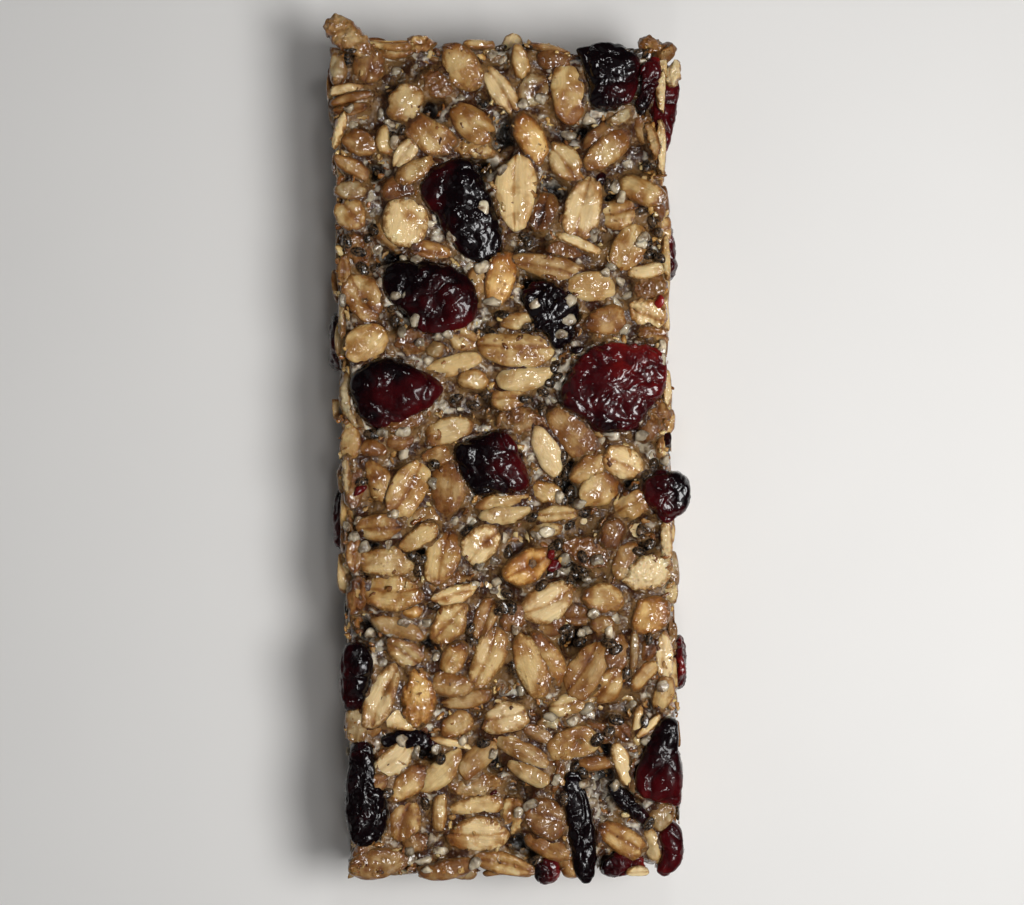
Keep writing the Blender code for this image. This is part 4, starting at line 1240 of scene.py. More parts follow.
print("flakes on the top")
rng = random.Random(7)
topFlakes = Batch()
top = {
    "thick": (1.6, 2.2), "sink": 0.46, "steepest": 0.20, "lowest": 14.9, "highest": 16.1,
    "free": (15.2, (0.05, -0.04)),   # level and slopes of a piece that sticks out past the mould
    "crumblyFrom": 18.8,             # a cut flake past this |x| is crumbled by the knife
}
for rows, lift in ((lowFlakes, -0.10), (middleFlakes, 0.05), (highFlakes, 0.25)):
    for x, y, turn, length, width, tone, marks in rows:
        thick = rng.uniform(*top["thick"])
        level, slope = topFace.settle(x, y, turn, length, width, thick, top["sink"], top["steepest"])
        level = min(max(level + lift, top["lowest"] + lift), top["highest"] + lift)
        if "free" in marks:
            level, slope = top["free"]
        tip = (slope[0] + rng.gauss(0, 0.04), slope[1] + rng.gauss(0, 0.04))
        if "edge" in marks and abs(x) > top["crumblyFrom"]:
            marks += " crumbly"
        grid = "strip" if "edge" in marks else "whole" if "free" in marks else "fine"
        addFlake(topFlakes, grids[grid], rng, topFace, (x, y, level), turn, length, width, thick, tone,
                 marks, tip)

print("flakes on the sides, the ends and the base")
# per face: how many of its flakes show a cut edge, and the gap between flakes
cladding = {
    "right": {"seed": 3, "cut": 0.55, "gap": 2.5}, "left": {"seed": 4, "cut": 0.55, "gap": 2.5},
    "far": {"seed": 5, "cut": 0.15, "gap": 2.7}, "near": {"seed": 6, "cut": 0.15, "gap": 2.7},
    "base": {"seed": 8, "cut": 0.0, "gap": 3.2},
}
sideFlakes, endFlakes, baseFlakes = Batch(), Batch(), Batch()
for name, look in cladding.items():
    face = faces[name]
    rng = random.Random(look["seed"])
    batch = baseFlakes if name == "base" else sideFlakes if name in ("right", "left") else endFlakes
    for a, b in scatter(rng, face.low, face.high, look["gap"]):
        if onFruit(face, a, b, 1.0):
            continue
        cut = rng.random() < look["cut"]
        if cut:
            length, width, thick = rng.uniform(2.4, 6.0), rng.uniform(0.9, 1.6), rng.uniform(1.5, 2.0)
            tone = rng.choice(("cream", "cream", "pale", "golden", "tan"))
            marks = "edge " + rng.choice(("", "wet", "crumbly", "crumbly wet"))
        else:
            length, width, thick = rng.uniform(4.2, 7.0), rng.uniform(2.6, 4.2), rng.uniform(1.1, 1.6)
            tone, marks = rng.choice(fillTones), rng.choice(fillMarks)
        if name == "base":
            turn = rng.uniform(0, 360)
        else:
            turn = rng.gauss(0, 24 if cut else 45) + rng.choice((0, 180))
            # none stands up past the top's own edge
            bend = math.radians(turn)
            tall = math.hypot(length * math.sin(bend), width * math.cos(bend))
            b = min(b, mould["rim"] + rng.uniform(-0.6, 0.6) - tall / 2)
        level, slope = face.settle(a, b, turn, length, width, thick, 0.60 if cut else 0.42, 0.16)
        tip = (slope[0] + rng.gauss(0, 0.05), slope[1] + rng.gauss(0, 0.05))
        addFlake(batch, grids["strip" if cut else "coarse"], rng, face, (a, b, level), turn, length, width,
                 thick, tone, marks, tip)


# The syrup that holds it all: it fills the gaps nearly level and climbs each piece's edge
# in a fillet, with swollen grains standing in it

syrup = {
    "fillet": 1.0,             # radius that it climbs an edge with
    "below": 0.9,              # how far it lies under the pieces around it
    "film": 0.20,              # how far under a flake's own face it stays
    "hollow": 2.3,
    "cells": {"top": 1300, "right": 330, "left": 330, "far": 130, "near": 130, "base": 420},
    "cellMm": (0.45, 0.85),    # radius of a swollen grain
    "rise": (0.06, 0.26),      # how far one stands out
    "roundMm": 1.3,            # how round the long edges are
    "columns": 146, "rows": 364, "levels": 34,
    "inset": 1.0,              # how far inside the mould's walls the mass is built
    "rimZ": 15.4,              # the walls start here ...
    "lowest": 1.5,             # ... and end here
    "halfAcross": 19.5, "halfAlong": 50,     # of the top, for the way to its edge
}


def poured(name, face, rng):
    # the level of the syrup on one face
    climbed = rolled(face.heights, face.cell, syrup["fillet"])
    spots = np.column_stack([face.a.ravel(), face.b.ravel(), np.zeros(face.a.size)])
    swell = makeWobble(rng, 5.0, 9, True)(spots).reshape(face.a.shape)
    ripple = makeWobble(rng, 1.6, 12, True)(spots).reshape(face.a.shape)
    level = np.maximum(climbed, face.around - syrup["below"] + 0.22 * swell)
    level = blurred(level, face.cell, 0.2)
    level = level - syrup["film"] * (0.6 + 0.7 * face.flakes) + 0.11 * ripple
    bare = (blurred(face.flakes, face.cell, 0.3) < 0.35) & (face.fruit < 0.5)
    for _ in range(syrup["cells"][name]):
        a, b = rng.uniform(face.low[0], face.high[0]), rng.uniform(face.low[1], face.high[1])
        radius, rise, milk = [rng.uniform(*span) for span in (syrup["cellMm"], syrup["rise"], (0.0, 1.0))]
        if face.pick(bare.astype(float), a, b) < 0.5:
            continue
        view = face.window(a, b, radius)
        awayA, awayB = face.a[view] - a, face.b[view] - b
        long, turn = rng.uniform(1.0, 1.7), rng.uniform(0, math.pi)
        u = (awayA * math.cos(turn) + awayB * math.sin(turn)) / long
        v = awayB * math.cos(turn) - awayA * math.sin(turn)
        far = (u ** 2 + v ** 2) / radius ** 2
        inside = far < 1
        middle = float(face.pick(level, a, b)) + rise - radius * 0.8
        cap = np.where(inside, middle + 0.8 * radius * np.sqrt(np.clip(1 - far, 0, 1)), -99)
        over = cap > level[view]
        level[view] = np.maximum(level[view], cap)
        face.milk[view] = np.where(over, milk, face.milk[view])
    if name == "top":
        for x, y, radius in hollows:
            far = np.hypot(face.a - x, face.b - y) / radius
            level = level - syrup["hollow"] * np.exp(-far ** 2) * (1 - face.flakes)
    # it keeps under the fruit
    level = level - 1.6 * np.clip(2.4 * blurred(face.fruit, face.cell, 0.4) - 1.3 + 0.55 * ripple, 0, 1)
    face.poured = level
    # milky in the open; clear and brown where it climbs a flake, partly as painted shade at its edge
    face.milk = (blurred(face.milk, face.cell, 0.2)
                 - 0.6 * np.clip(1.6 * blurred(face.flakes, face.cell, 0.25), 0, 1))


print("syrup")
for seed, (name, face) in enumerate(faces.items(), start=60):
    face.finishHeights()
    poured(name, face, random.Random(seed))


# seeds on the top: x, y, turn, length, width
chiaSeeds = [
    (-18.2, 48.9, 95, 2.0, 1.2), (-11.8, 40.2, 60, 1.6, 1.0), (18.3, 48.6, 80, 2.1, 1.3),
    (17.1, 49.5, 20, 1.8, 1.2), (18.1, 35.3, 60, 2.0, 1.3), (11.6, 49.2, 20, 1.9, 1.2),
    (13.6, 49.3, -20, 1.9, 1.2), (15.4, 49.4, 10, 1.7, 1.1), (0.4, 50.4, 20, 1.8, 1.2),
    (3.9, 50.6, -15, 1.9, 1.2), (17.2, 29.8, 20, 1.9, 1.1), (18.5, 28.3, 85, 1.9, 1.1),
    (18.2, 24.4, 20, 2.0, 1.3), (19.3, 23.9, -40, 1.8, 1.2), (-18.8, 26.7, 110, 2.0, 1.2),
    (-16.2, 27.1, 40, 1.6, 1.1), (-17.4, 25.4, -15, 2.0, 1.2), (-17.0, 23.5, -55, 2.0, 1.3),
    (2.8, 26.9, -40, 2.0, 1.3), (3.3, 26.0, 60, 1.8, 1.2), (2.2, 25.1, 20, 1.9, 1.2),
    (-0.1, 17.4, -10, 1.9, 1.2), (-1.5, 15.4, -30, 2.0, 1.2), (3.0, 15.7, 15, 1.8, 1.2),
    (-13.4, 18.6, 30, 1.9, 1.2), (-13.2, 16.8, 70, 1.7, 1.2), (-16.4, 3.2, -10, 2.1, 1.4),
    (-6.0, 7.4, 30, 1.9, 1.3), (-4.0, 6.5, -20, 2.0, 1.3), (-8.8, -0.7, 10, 1.5, 1.3),
    (-2.3, 7.7, 20, 1.5, 1.1), (2.6, 7.0, -10, 1.9, 1.2), (4.7, 7.9, -40, 1.9, 1.3),
    (6.2, 10.9, 60, 1.9, 1.2), (6.4, 9.6, 20, 1.8, 1.2), (5.6, 8.9, -30, 1.8, 1.2),
    (7.0, -0.3, 80, 1.9, 1.2), (7.3, -2.2, 85, 2.1, 1.1), (7.7, -4.6, 70, 1.9, 1.2),
    (8.1, -5.7, 100, 1.8, 1.1), (9.3, -7.1, -20, 2.1, 1.2), (3.0, -7.5, 30, 1.8, 1.2),
    (7.5, -8.5, 40, 1.7, 1.2), (17.2, -2.7, 20, 1.9, 1.3), (15.4, -4.3, 55, 2.0, 1.2),
    (-11.6, -11.9, -20, 1.9, 1.3), (-10.7, -12.4, 40, 1.8, 1.2), (-11.0, -13.8, 95, 2.0, 1.3),
    (0.0, -11.7, 88, 2.0, 1.2), (-9.3, -18.0, 0, 1.7, 1.1), (-1.2, -18.8, 20, 1.5, 1.1),
    (-4.6, -22.3, -30, 1.6, 1.1), (-4.8, -20.9, 60, 1.7, 1.1), (5.4, -11.4, 70, 1.9, 1.2),
    (6.2, -10.8, 75, 1.9, 1.2), (5.2, -14.5, 35, 1.9, 1.2), (5.7, -13.1, 95, 1.9, 1.2),
    (4.0, -15.9, 50, 1.9, 1.2), (-0.2, -16.8, -20, 1.8, 1.3), (8.0, -14.6, 10, 2.0, 1.3),
    (7.4, -15.5, 50, 1.9, 1.2), (8.8, -13.9, -20, 1.8, 1.2), (16.4, -9.4, 80, 2.0, 1.3),
    (17.3, -11.2, 40, 1.9, 1.3), (16.0, -11.9, -10, 1.8, 1.2), (6.9, -21.2, 20, 2.0, 1.3),
    (7.5, -22.0, 70, 1.9, 1.2), (6.4, -22.3, 100, 1.7, 1.1), (8.6, -22.9, 40, 1.8, 1.1),
    (12.1, -23.0, -20, 2.0, 1.3), (12.9, -23.8, 30, 1.8, 1.2), (14.1, -27.0, 85, 2.1, 1.3),
    (17.0, -22.7, 80, 1.7, 0.9), (0.3, -25.7, 90, 1.8, 1.1), (-8.8, -36.7, 70, 1.5, 1.3),
    (-10.8, -42.3, 88, 1.9, 1.1), (-15.3, -40.7, 30, 1.6, 1.2), (10.3, -34.8, 50, 2.0, 1.5),
    (7.6, -38.0, 60, 1.8, 1.2), (12.8, -32.4, -10, 2.0, 1.4), (16.2, -32.6, 85, 1.8, 1.1),
    (2.5, -49.4, 20, 1.9, 1.2), (16.4, -45.2, 60, 1.9, 1.2), (4.6, 5.6, 80, 1.9, 1.2),
    (13.2, 32.9, 88, 2.0, 1.0), (-3.6, -34.9, 10, 1.8, 1.2), (-5.0, -8.9, 40, 1.8, 1.2),
    (-17.7, -2.7, 20, 1.7, 1.2), (6.2, -41.8, 88, 1.9, 1.1), (-1.8, 43.2, 20, 1.9, 1.2),
]
# grains on the top: x, y, turn, length, width, how light
paleGrains = [
    (-17.9, 41.0, 20, 1.4, 1.2, 1.0), (-14.4, 42.6, 70, 1.4, 1.1, 0.8),
    (-13.5, 41.2, -12, 2.0, 1.1, 1.0), (-12.8, 38.6, 75, 1.8, 1.0, 1.1), (0.6, 48.3, 70, 1.9, 1.3, 1.1),
    (11.3, 41.2, 15, 2.2, 1.3, 1.05), (8.4, 39.4, -10, 2.1, 1.5, 0.8), (16.9, 36.9, 30, 1.7, 1.5, 0.95),
    (15.8, 35.7, -30, 1.7, 1.4, 0.95), (5.2, 43.6, 20, 1.7, 1.4, 1.0), (3.0, 43.0, 10, 1.6, 1.2, 0.9),
    (-9.7, 48.4, 40, 1.7, 1.2, 0.9), (-2.2, 30.2, 80, 2.1, 1.4, 1.25), (-3.3, 29.3, 70, 1.5, 1.0, 0.9),
    (-5.2, 29.7, 70, 1.8, 1.4, 0.75), (-8.6, 28.8, 20, 1.9, 1.2, 1.2), (-8.1, 27.5, 10, 2.1, 1.6, 1.0),
    (-6.0, 27.0, 110, 1.5, 1.1, 1.0), (-2.4, 23.2, 25, 2.2, 1.4, 1.2), (-3.9, 23.5, 10, 1.8, 1.0, 1.0),
    (-5.0, 24.5, -20, 1.5, 0.9, 0.9), (-1.2, 18.9, -5, 2.4, 1.1, 1.1), (-2.1, 17.3, 20, 1.6, 1.4, 0.9),
    (-13.0, 20.0, 20, 1.5, 1.2, 0.8), (-11.3, 20.0, 0, 1.9, 1.1, 0.7), (-10.7, 16.8, 80, 1.8, 1.2, 0.8),
    (-12.3, 15.5, 80, 1.4, 1.2, 0.85), (-6.8, 15.1, 20, 1.5, 1.3, 1.1), (-8.0, 14.8, 0, 1.6, 1.1, 0.9),
    (-10.2, 14.2, 10, 1.3, 1.1, 0.8), (-9.3, 12.0, 10, 1.5, 1.1, 1.0), (1.6, 26.1, 30, 1.5, 1.3, 0.95),
    (4.0, 18.5, 10, 1.7, 1.3, 1.2), (8.2, 18.8, 70, 1.7, 1.4, 0.9), (8.0, 16.4, 20, 1.9, 1.4, 0.95),
    (7.1, 14.8, 10, 1.7, 1.2, 0.9), (14.3, 21.4, -50, 1.9, 1.1, 0.95), (12.6, 22.2, 20, 1.3, 1.1, 1.0),
    (13.4, 23.1, 20, 1.6, 1.2, 0.9), (15.3, 19.4, 20, 1.8, 1.3, 0.85), (14.0, 18.6, -50, 1.9, 1.0, 0.9),
    (14.8, 15.4, 40, 1.6, 1.3, 0.9), (15.2, 14.0, 15, 2.2, 1.2, 0.95), (11.3, 26.9, 70, 1.9, 1.2, 0.9),
    (14.8, 31.4, 85, 1.7, 1.1, 1.15), (14.2, 32.8, 60, 1.7, 1.3, 0.95), (6.0, 26.9, 10, 1.6, 1.2, 0.85),
    (19.4, 12.9, 80, 1.7, 1.2, 1.2), (19.4, 11.3, 80, 1.5, 1.3, 1.0), (17.4, 26.3, 30, 1.9, 1.2, 1.05),
    (17.1, 25.5, 0, 1.4, 1.1, 1.1), (-14.0, 6.3, -20, 1.9, 1.6, 1.1), (-15.1, 7.8, 40, 1.5, 1.2, 0.7),
    (-12.5, 0.5, 80, 1.7, 1.4, 1.05), (-12.6, 3.3, 20, 1.8, 1.5, 0.95),
    (-15.0, 3.3, 10, 1.7, 1.2, 0.85), (-5.7, 6.0, 20, 1.5, 1.0, 1.15), (-7.6, 6.4, 10, 1.7, 1.2, 0.8),
    (2.9, -0.4, 60, 1.4, 1.1, 0.95), (6.4, -5.0, 80, 1.5, 1.0, 1.15), (8.8, -5.9, 30, 1.7, 1.3, 0.95),
    (5.9, 6.9, -20, 1.6, 1.2, 0.8), (11.7, 1.9, 10, 1.8, 1.3, 0.95), (16.8, 0.8, 15, 2.2, 1.5, 0.9),
    (19.0, -0.9, 20, 1.7, 1.3, 1.1), (16.6, 2.2, 20, 1.7, 1.4, 0.85), (17.9, -0.3, 60, 1.4, 1.0, 0.9),
    (-18.2, -7.4, 20, 1.3, 1.0, 1.15), (-13.9, -6.6, 28, 1.6, 0.9, 1.15),
    (-14.8, -10.4, 80, 1.7, 1.5, 1.1), (-18.9, -9.4, 20, 1.5, 1.3, 0.9),
    (-17.6, -10.7, 40, 1.6, 1.3, 0.8), (-9.0, -3.1, 80, 1.4, 1.2, 0.8), (-4.1, -7.7, 20, 1.8, 1.2, 0.9),
    (-6.6, -7.8, 60, 1.5, 1.0, 0.9), (-0.6, -9.9, 60, 1.6, 1.3, 1.15),
    (-1.7, -12.4, 20, 1.4, 1.2, 0.85), (-2.8, -13.9, 10, 1.9, 1.6, 0.9),
    (-1.5, -15.3, 60, 1.5, 1.2, 1.0), (-2.0, -16.5, 20, 1.6, 1.2, 0.9),
    (-3.6, -13.3, 40, 1.4, 1.1, 0.75), (-4.2, -15.5, 20, 1.3, 1.1, 1.0),
    (-5.3, -13.6, 30, 1.4, 1.2, 0.9), (4.7, -9.3, 15, 1.9, 1.3, 1.15), (3.6, -9.6, -20, 1.7, 1.2, 1.05),
    (7.0, -12.6, 30, 1.9, 1.6, 0.85), (6.8, -14.0, 10, 1.6, 1.3, 0.75),
    (10.8, -12.8, 20, 1.7, 1.4, 0.75), (9.8, -15.3, -20, 1.9, 1.3, 0.85),
    (9.6, -21.4, 10, 2.0, 1.4, 1.0), (12.1, -21.7, 80, 1.6, 1.1, 1.15),
    (12.8, -20.1, 30, 1.7, 1.3, 0.9), (8.7, -21.8, 20, 1.4, 1.0, 0.95),
    (0.7, -21.1, -30, 1.5, 1.1, 1.05), (10.2, -19.4, 30, 1.6, 1.2, 0.95),
    (-12.8, -19.9, 5, 1.7, 1.1, 1.0), (-10.2, -20.1, 40, 1.5, 1.3, 0.85),
    (-9.0, -24.3, 60, 1.4, 1.2, 1.0), (-16.2, -23.3, 20, 1.6, 1.2, 0.75),
    (-15.8, -24.7, 20, 1.8, 1.5, 0.8), (-17.1, -21.3, 10, 1.9, 1.4, 0.85),
    (-13.5, -34.4, 70, 1.5, 1.4, 0.9), (-11.8, -36.0, 80, 2.0, 1.2, 0.9),
    (-9.4, -35.5, 50, 1.4, 1.1, 0.8), (-6.0, -34.5, 40, 1.5, 1.2, 1.05),
    (-2.3, -36.3, 70, 1.4, 1.1, 1.0), (-12.8, -49.1, 20, 1.8, 1.5, 0.9),
    (-11.3, -49.3, 10, 2.2, 1.1, 0.95), (-10.8, -50.4, 30, 1.6, 1.3, 1.0),
    (-9.1, -48.1, 0, 1.8, 1.1, 1.15), (-10.2, -46.6, 60, 1.6, 1.1, 0.95),
    (-13.0, -47.9, 30, 1.4, 1.2, 0.8), (-4.9, -49.6, 50, 1.8, 1.3, 0.8),
    (7.6, -32.4, 10, 2.1, 1.4, 1.05), (4.7, -31.8, -30, 1.6, 1.1, 0.9),
    (1.4, -28.6, 20, 1.9, 1.6, 0.85), (9.3, -31.0, 30, 1.9, 1.4, 0.85),
    (2.0, -42.6, 15, 2.2, 1.3, 0.95), (0.6, -43.3, 60, 1.4, 1.1, 1.0), (9.6, -40.6, 30, 1.8, 1.6, 0.85),
    (11.0, -40.8, 70, 2.1, 1.6, 0.85), (11.9, -42.6, 40, 2.1, 1.6, 0.8),
    (9.5, -42.6, 20, 1.7, 1.6, 0.95), (8.6, -40.1, 20, 1.4, 1.2, 1.05),
    (12.4, -40.4, 80, 1.7, 1.1, 0.85), (10.6, -44.6, 0, 2.0, 1.0, 0.8),
    (5.2, -39.6, 60, 1.6, 1.2, 0.85), (17.3, -27.8, 50, 2.0, 1.1, 1.1),
    (17.0, -29.0, 70, 1.8, 1.2, 1.05), (14.7, -31.0, 30, 1.6, 1.3, 0.9),
    (18.4, -28.4, 20, 1.8, 1.4, 1.0), (16.3, -35.0, 20, 1.4, 1.0, 0.85),
    (-19.6, 19.6, 80, 1.6, 1.1, 0.8), (-16.0, 32.2, 70, 1.5, 1.2, 0.85),
    (-15.6, 30.4, 60, 1.7, 1.2, 0.8), (-15.8, 28.8, 40, 1.5, 1.1, 0.85),
    (-15.2, 26.0, 60, 1.6, 1.3, 0.9), (-11.8, 24.6, 20, 1.6, 1.2, 0.95),
    (-10.4, 24.2, 0, 1.5, 1.1, 0.85), (-18.2, 43.0, 30, 1.3, 1.0, 0.9), (-4.7, 43.9, 20, 1.8, 1.2, 0.8),
    (-11.6, 46.6, 60, 1.5, 1.1, 0.85), (-12.6, 47.6, 20, 1.6, 1.2, 0.8), (0.2, 35.0, 50, 1.6, 1.0, 0.9),
]


# rough: how lumpy its surface is, in mm; clear: how much paler its thick middle is than its rim
seedKinds = {
    "chia": {"batch": Batch(), "rough": 0.01, "clear": 0.0},
    "grain": {"batch": Batch(), "rough": 0.12, "clear": 0.5},
}


def addSeed(kind, rng, face, a, b, turn, length, width, thick, shade, sink):
    look, grid = seedKinds[kind], grids["seed"]
    slope = face.slope(a, b, 0.7)
    tip = (max(-0.35, min(0.35, slope[0])), max(-0.35, min(0.35, slope[1])))
    spots = [(a + 0.5 * i, b + 0.5 * j) for i in (-1, 0, 1) for j in (-1, 0, 1)]
    dry = float(np.median([face.height(*spot) for spot in spots]))
    wet = float(np.median([face.pick(face.poured, *spot) for spot in spots]))
    # half sunk in syrup, hardly at all on a flake
    level = max(dry + thick * (0.5 - 0.35 * sink), wet + thick * (0.5 - sink))
    egg = rng.uniform(0.0, 0.2)
    points = pebble(grid, length, width, thick, lambda angle: 1 + egg * np.cos(angle) * 0.5, boxy=0.85)
    points = points + look["rough"] * np.column_stack([makeWobble(rng, 1.3, 6)(points) for _ in range(3)])
    grain = points + np.array([rng.uniform(-300, 300) for _ in range(3)])
    placed = pressed(face.world(turned(points, turn, tip, rng.uniform(-18, 18)) + np.array([a, b, level])))
    shade = shade * (1 + look["clear"] * (0.35 - grid["reach"] ** 2))
    look["batch"].add(grid, placed, {"seedGrain": grain, "seedShade": shade})
    face.lay(grid, placed, face.flakes)


print("seeds and grains")
rng = random.Random(19)
for x, y, turn, length, width in chiaSeeds:
    addSeed("chia", rng, topFace, x, y, turn, length, width, 1.0, rng.uniform(0.75, 1.35), 0.50)
    # they lie in clusters
    angle, away = rng.uniform(0, math.tau), rng.uniform(1.2, 1.7)
    besideX, besideY = x + away * math.cos(angle), y + away * math.sin(angle)
    if (topFace.pick(topFace.flakes + topFace.fruit, besideX, besideY) < 0.3
            or rng.random() < 0.10 and not onFruit(topFace, besideX, besideY, 0.4)):
        addSeed("chia", rng, topFace, besideX, besideY, rng.uniform(0, 180), rng.uniform(1.6, 2.0),
                rng.uniform(1.1, 1.3), 1.0, rng.uniform(0.75, 1.35), 0.55)
for x, y, turn, length, width, light in paleGrains:
    addSeed("grain", rng, topFace, x, y, turn, length, width, 1.0, light ** 1.6 * rng.uniform(0.78, 1.05),
            rng.uniform(0.68, 0.98))

# more of both in the sides, the ends and the base, where they lie between the flakes
for name, look in cladding.items():
    face = faces[name]
    rng = random.Random(look["seed"] + 50)
    for a, b in scatter(rng, face.low, face.high, 4.4, 2500):
        if onFruit(face, a, b, 0.6):
            continue
        if rng.random() < 0.42:
            addSeed("chia", rng, face, a, b, rng.uniform(0, 360), rng.uniform(1.8, 2.1), 1.25, 1.0,
                    rng.uniform(0.75, 1.3), 0.45)
        else:
            addSeed("grain", rng, face, a, b, rng.uniform(0, 360), rng.uniform(1.4, 2.1),
                    rng.uniform(1.1, 1.5), 1.1, rng.uniform(0.70, 1.05), rng.uniform(0.65, 0.98))


def smooth(t):
    t = np.clip(t, 0, 1)
    return t * t * (3 - 2 * t)


def makeSyrupMass():
    nx, ny, levels = syrup["columns"], syrup["rows"], syrup["levels"]
    inset, edge, rimZ, lowest = [syrup[key] for key in ("inset", "roundMm", "rimZ", "lowest")]
    halfAcross, halfAlong = syrup["halfAcross"], syrup["halfAlong"]
    u, v = np.linspace(-1, 1, nx + 1), np.linspace(-1, 1, ny + 1)

    def plan(u, v, z):
        # the box that the mass is built on, at one level
        x = u * (wallX(v * (mould["halfLength"] - 2.0), z) - inset)
        return x, v * (wallY(x, z, np.sign(v)) - inset)

    def toEdge(u, v):
        return np.minimum((1 - np.abs(u)) * halfAcross, (1 - np.abs(v)) * halfAlong)

    def bulge(face, a, b, start, away):
        # from the box out to the syrup's own level, less near the box's edges
        return (face.pick(face.poured, a, b) - start) * smooth(away / edge)

    gridU, gridV = np.meshgrid(u, v, indexing="ij")
    x, y = plan(gridU, gridV, rimZ)
    inward = toEdge(gridU, gridV)
    z = topFace.pick(topFace.poured, x, y)
    rim = np.minimum(z, rimZ)
    z = rim + (z - rim) * smooth(inward / edge) - 0.55 * (1 - smooth(inward / edge)) ** 2
    points = [np.column_stack([x.ravel(), y.ravel(), z.ravel()])]
    topIndex = np.arange(x.size).reshape(x.shape)
    # walk round the rim: along the near end, up the right side, back along the far end, down the left
    loop = ([(i, 0) for i in range(nx)] + [(nx, j) for j in range(ny)]
            + [(i, ny) for i in range(nx, 0, -1)] + [(0, j) for j in range(ny, 0, -1)])
    loopU, loopV = u[[c[0] for c in loop]], v[[c[1] for c in loop]]
    rimHeights = z[[c[0] for c in loop], [c[1] for c in loop]]
    rings = [np.array([topIndex[c] for c in loop])]
    count = x.size
    for k in range(1, levels + 1):
        t = k / levels
        level = rimHeights + (lowest - rimHeights) * t
        x, y = plan(loopU, loopV, level)
        fromTop, fromBase = (rimHeights - level), (level - lowest) + 0.25
        down = np.minimum(fromTop, fromBase)
        onX, onY = np.abs(loopU) > 0.9999, np.abs(loopV) > 0.9999
        for name, mask, axis in (("right", onX & (loopU > 0), 0), ("left", onX & (loopU < 0), 0),
                                 ("far", onY & (loopV > 0), 1), ("near", onY & (loopV < 0), 1)):
            face = faces[name]
            spots = face.local(np.column_stack([x, y, level])[mask])
            corner = (1 - np.abs((loopV, loopU)[axis][mask])) * (halfAlong, halfAcross)[axis]
            out = bulge(face, spots[:, 0], spots[:, 1], spots[:, 2], np.minimum(down[mask], corner))
            (x, y)[axis][mask] += face.outward[axis] * out
        points.append(np.column_stack([x, y, level]))
        rings.append(count + np.arange(len(loop)))
        count += len(loop)
    # the base, three cells of the top to one of its own
    baseU, baseV = [line[::3] if len(line) % 3 == 1 else np.append(line[:-1:3], 1.0) for line in (u, v)]
    innerU, innerV = np.meshgrid(baseU[1:-1], baseV[1:-1], indexing="ij")
    x, y = plan(innerU, innerV, lowest)
    under = faces["base"].pick(faces["base"].poured, x, -y)
    z = lowest + (np.minimum(-under, 2.2) - lowest) * smooth(toEdge(innerU, innerV) / edge)
    points.append(np.column_stack([x.ravel(), y.ravel(), np.maximum(z, 0.12).ravel()]))
    innerIndex = count + np.arange(x.size).reshape(x.shape)
    points = np.vstack(points)

    # faces, and a place in the texture for each
    quads, corners = [], []
    for i in range(nx):
        for j in range(ny):
            ring = [(i, j), (i + 1, j), (i + 1, j + 1), (i, j + 1)]
            quads.append([topIndex[c] for c in ring])
            corners += [(0.01 + 0.40 * c[0] / nx, 0.01 + 0.98 * c[1] / ny) for c in ring]
    # each wall takes its own strip: near, right, far, left
    strips = {"near": (0, nx, 0.75, 0.01, 0.40), "right": (nx, nx + ny, 0.58, 0.01, 0.98),
              "far": (nx + ny, 2 * nx + ny, 0.75, 0.50, 0.40),
              "left": (2 * nx + ny, 2 * (nx + ny), 0.66, 0.01, 0.98)}
    for first, last, left, low, tall in strips.values():
        for k in range(levels):
            for i in range(first, last):
                nxt = (i + 1) % len(loop)
                quads.append([rings[k][i], rings[k + 1][i], rings[k + 1][nxt], rings[k][nxt]])
                a, b = [low + tall * (at - first) / (last - first) for at in (i, i + 1)]
                c, d = left + 0.075 * k / levels, left + 0.075 * (k + 1) / levels
                corners += [(c, a), (d, a), (d, b), (c, b)]
    # the lowest ring by its place on the fine grid, then the coarse cells inside it
    ringAt = {c: rings[-1][k] for k, c in enumerate(loop)}
    stepsU = [int(round((s + 1) / 2 * nx)) for s in baseU]
    stepsV = [int(round((s + 1) / 2 * ny)) for s in baseV]

    def cornerAt(i, j):
        if 0 < i < len(stepsU) - 1 and 0 < j < len(stepsV) - 1:
            return int(innerIndex[i - 1, j - 1])
        return int(ringAt[stepsU[i], stepsV[j]])

    for i in range(len(stepsU) - 1):
        for j in range(len(stepsV) - 1):
            ring, places = [], []
            walk = [(i, j), (i, j + 1), (i + 1, j + 1), (i + 1, j)]
            for (p, q), (r, s) in zip(walk, walk[1:] + walk[:1]):
                ring.append(cornerAt(p, q))
                places.append((stepsU[p], stepsV[q]))
                # an outer edge takes in every fine step along it
                if p == r and p in (0, len(stepsU) - 1):
                    way = range(stepsV[q], stepsV[s], 1 if s > q else -1)
                    extra = [(stepsU[p], w) for w in list(way)[1:]]
                elif q == s and q in (0, len(stepsV) - 1):
                    way = range(stepsU[p], stepsU[r], 1 if r > p else -1)
                    extra = [(w, stepsV[q]) for w in list(way)[1:]]
                else:
                    extra = []
                ring += [int(ringAt[e]) for e in extra]
                places += extra
            quads.append(ring)
            corners += [(0.42 + 0.15 * p / nx, 0.01 + 0.98 * q / ny) for p, q in places]

    milk = np.full(len(points), -9.0)
    for face in faces.values():
        a, b, up = face.local(points).T
        near = np.abs(face.pick(face.poured, a, b) - up) < 0.3
        milk = np.maximum(milk, np.where(near, face.pick(face.milk, a, b), -9.0))
    milk = np.where(milk < -5, 0.0, milk)
    # how deep each point lies, for the painted shade in gaps
    values = {"syrupGrain": points, "syrupMilk": milk, "paintedGapShade": paintedGapShade(points, *gap["syrup"])}
    return makeMesh("setSyrup", points, quads, syrupMaterial, values, np.array(corners))


print("syrup mass")
mass = makeSyrupMass()
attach(mass, "root")
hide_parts("bar")


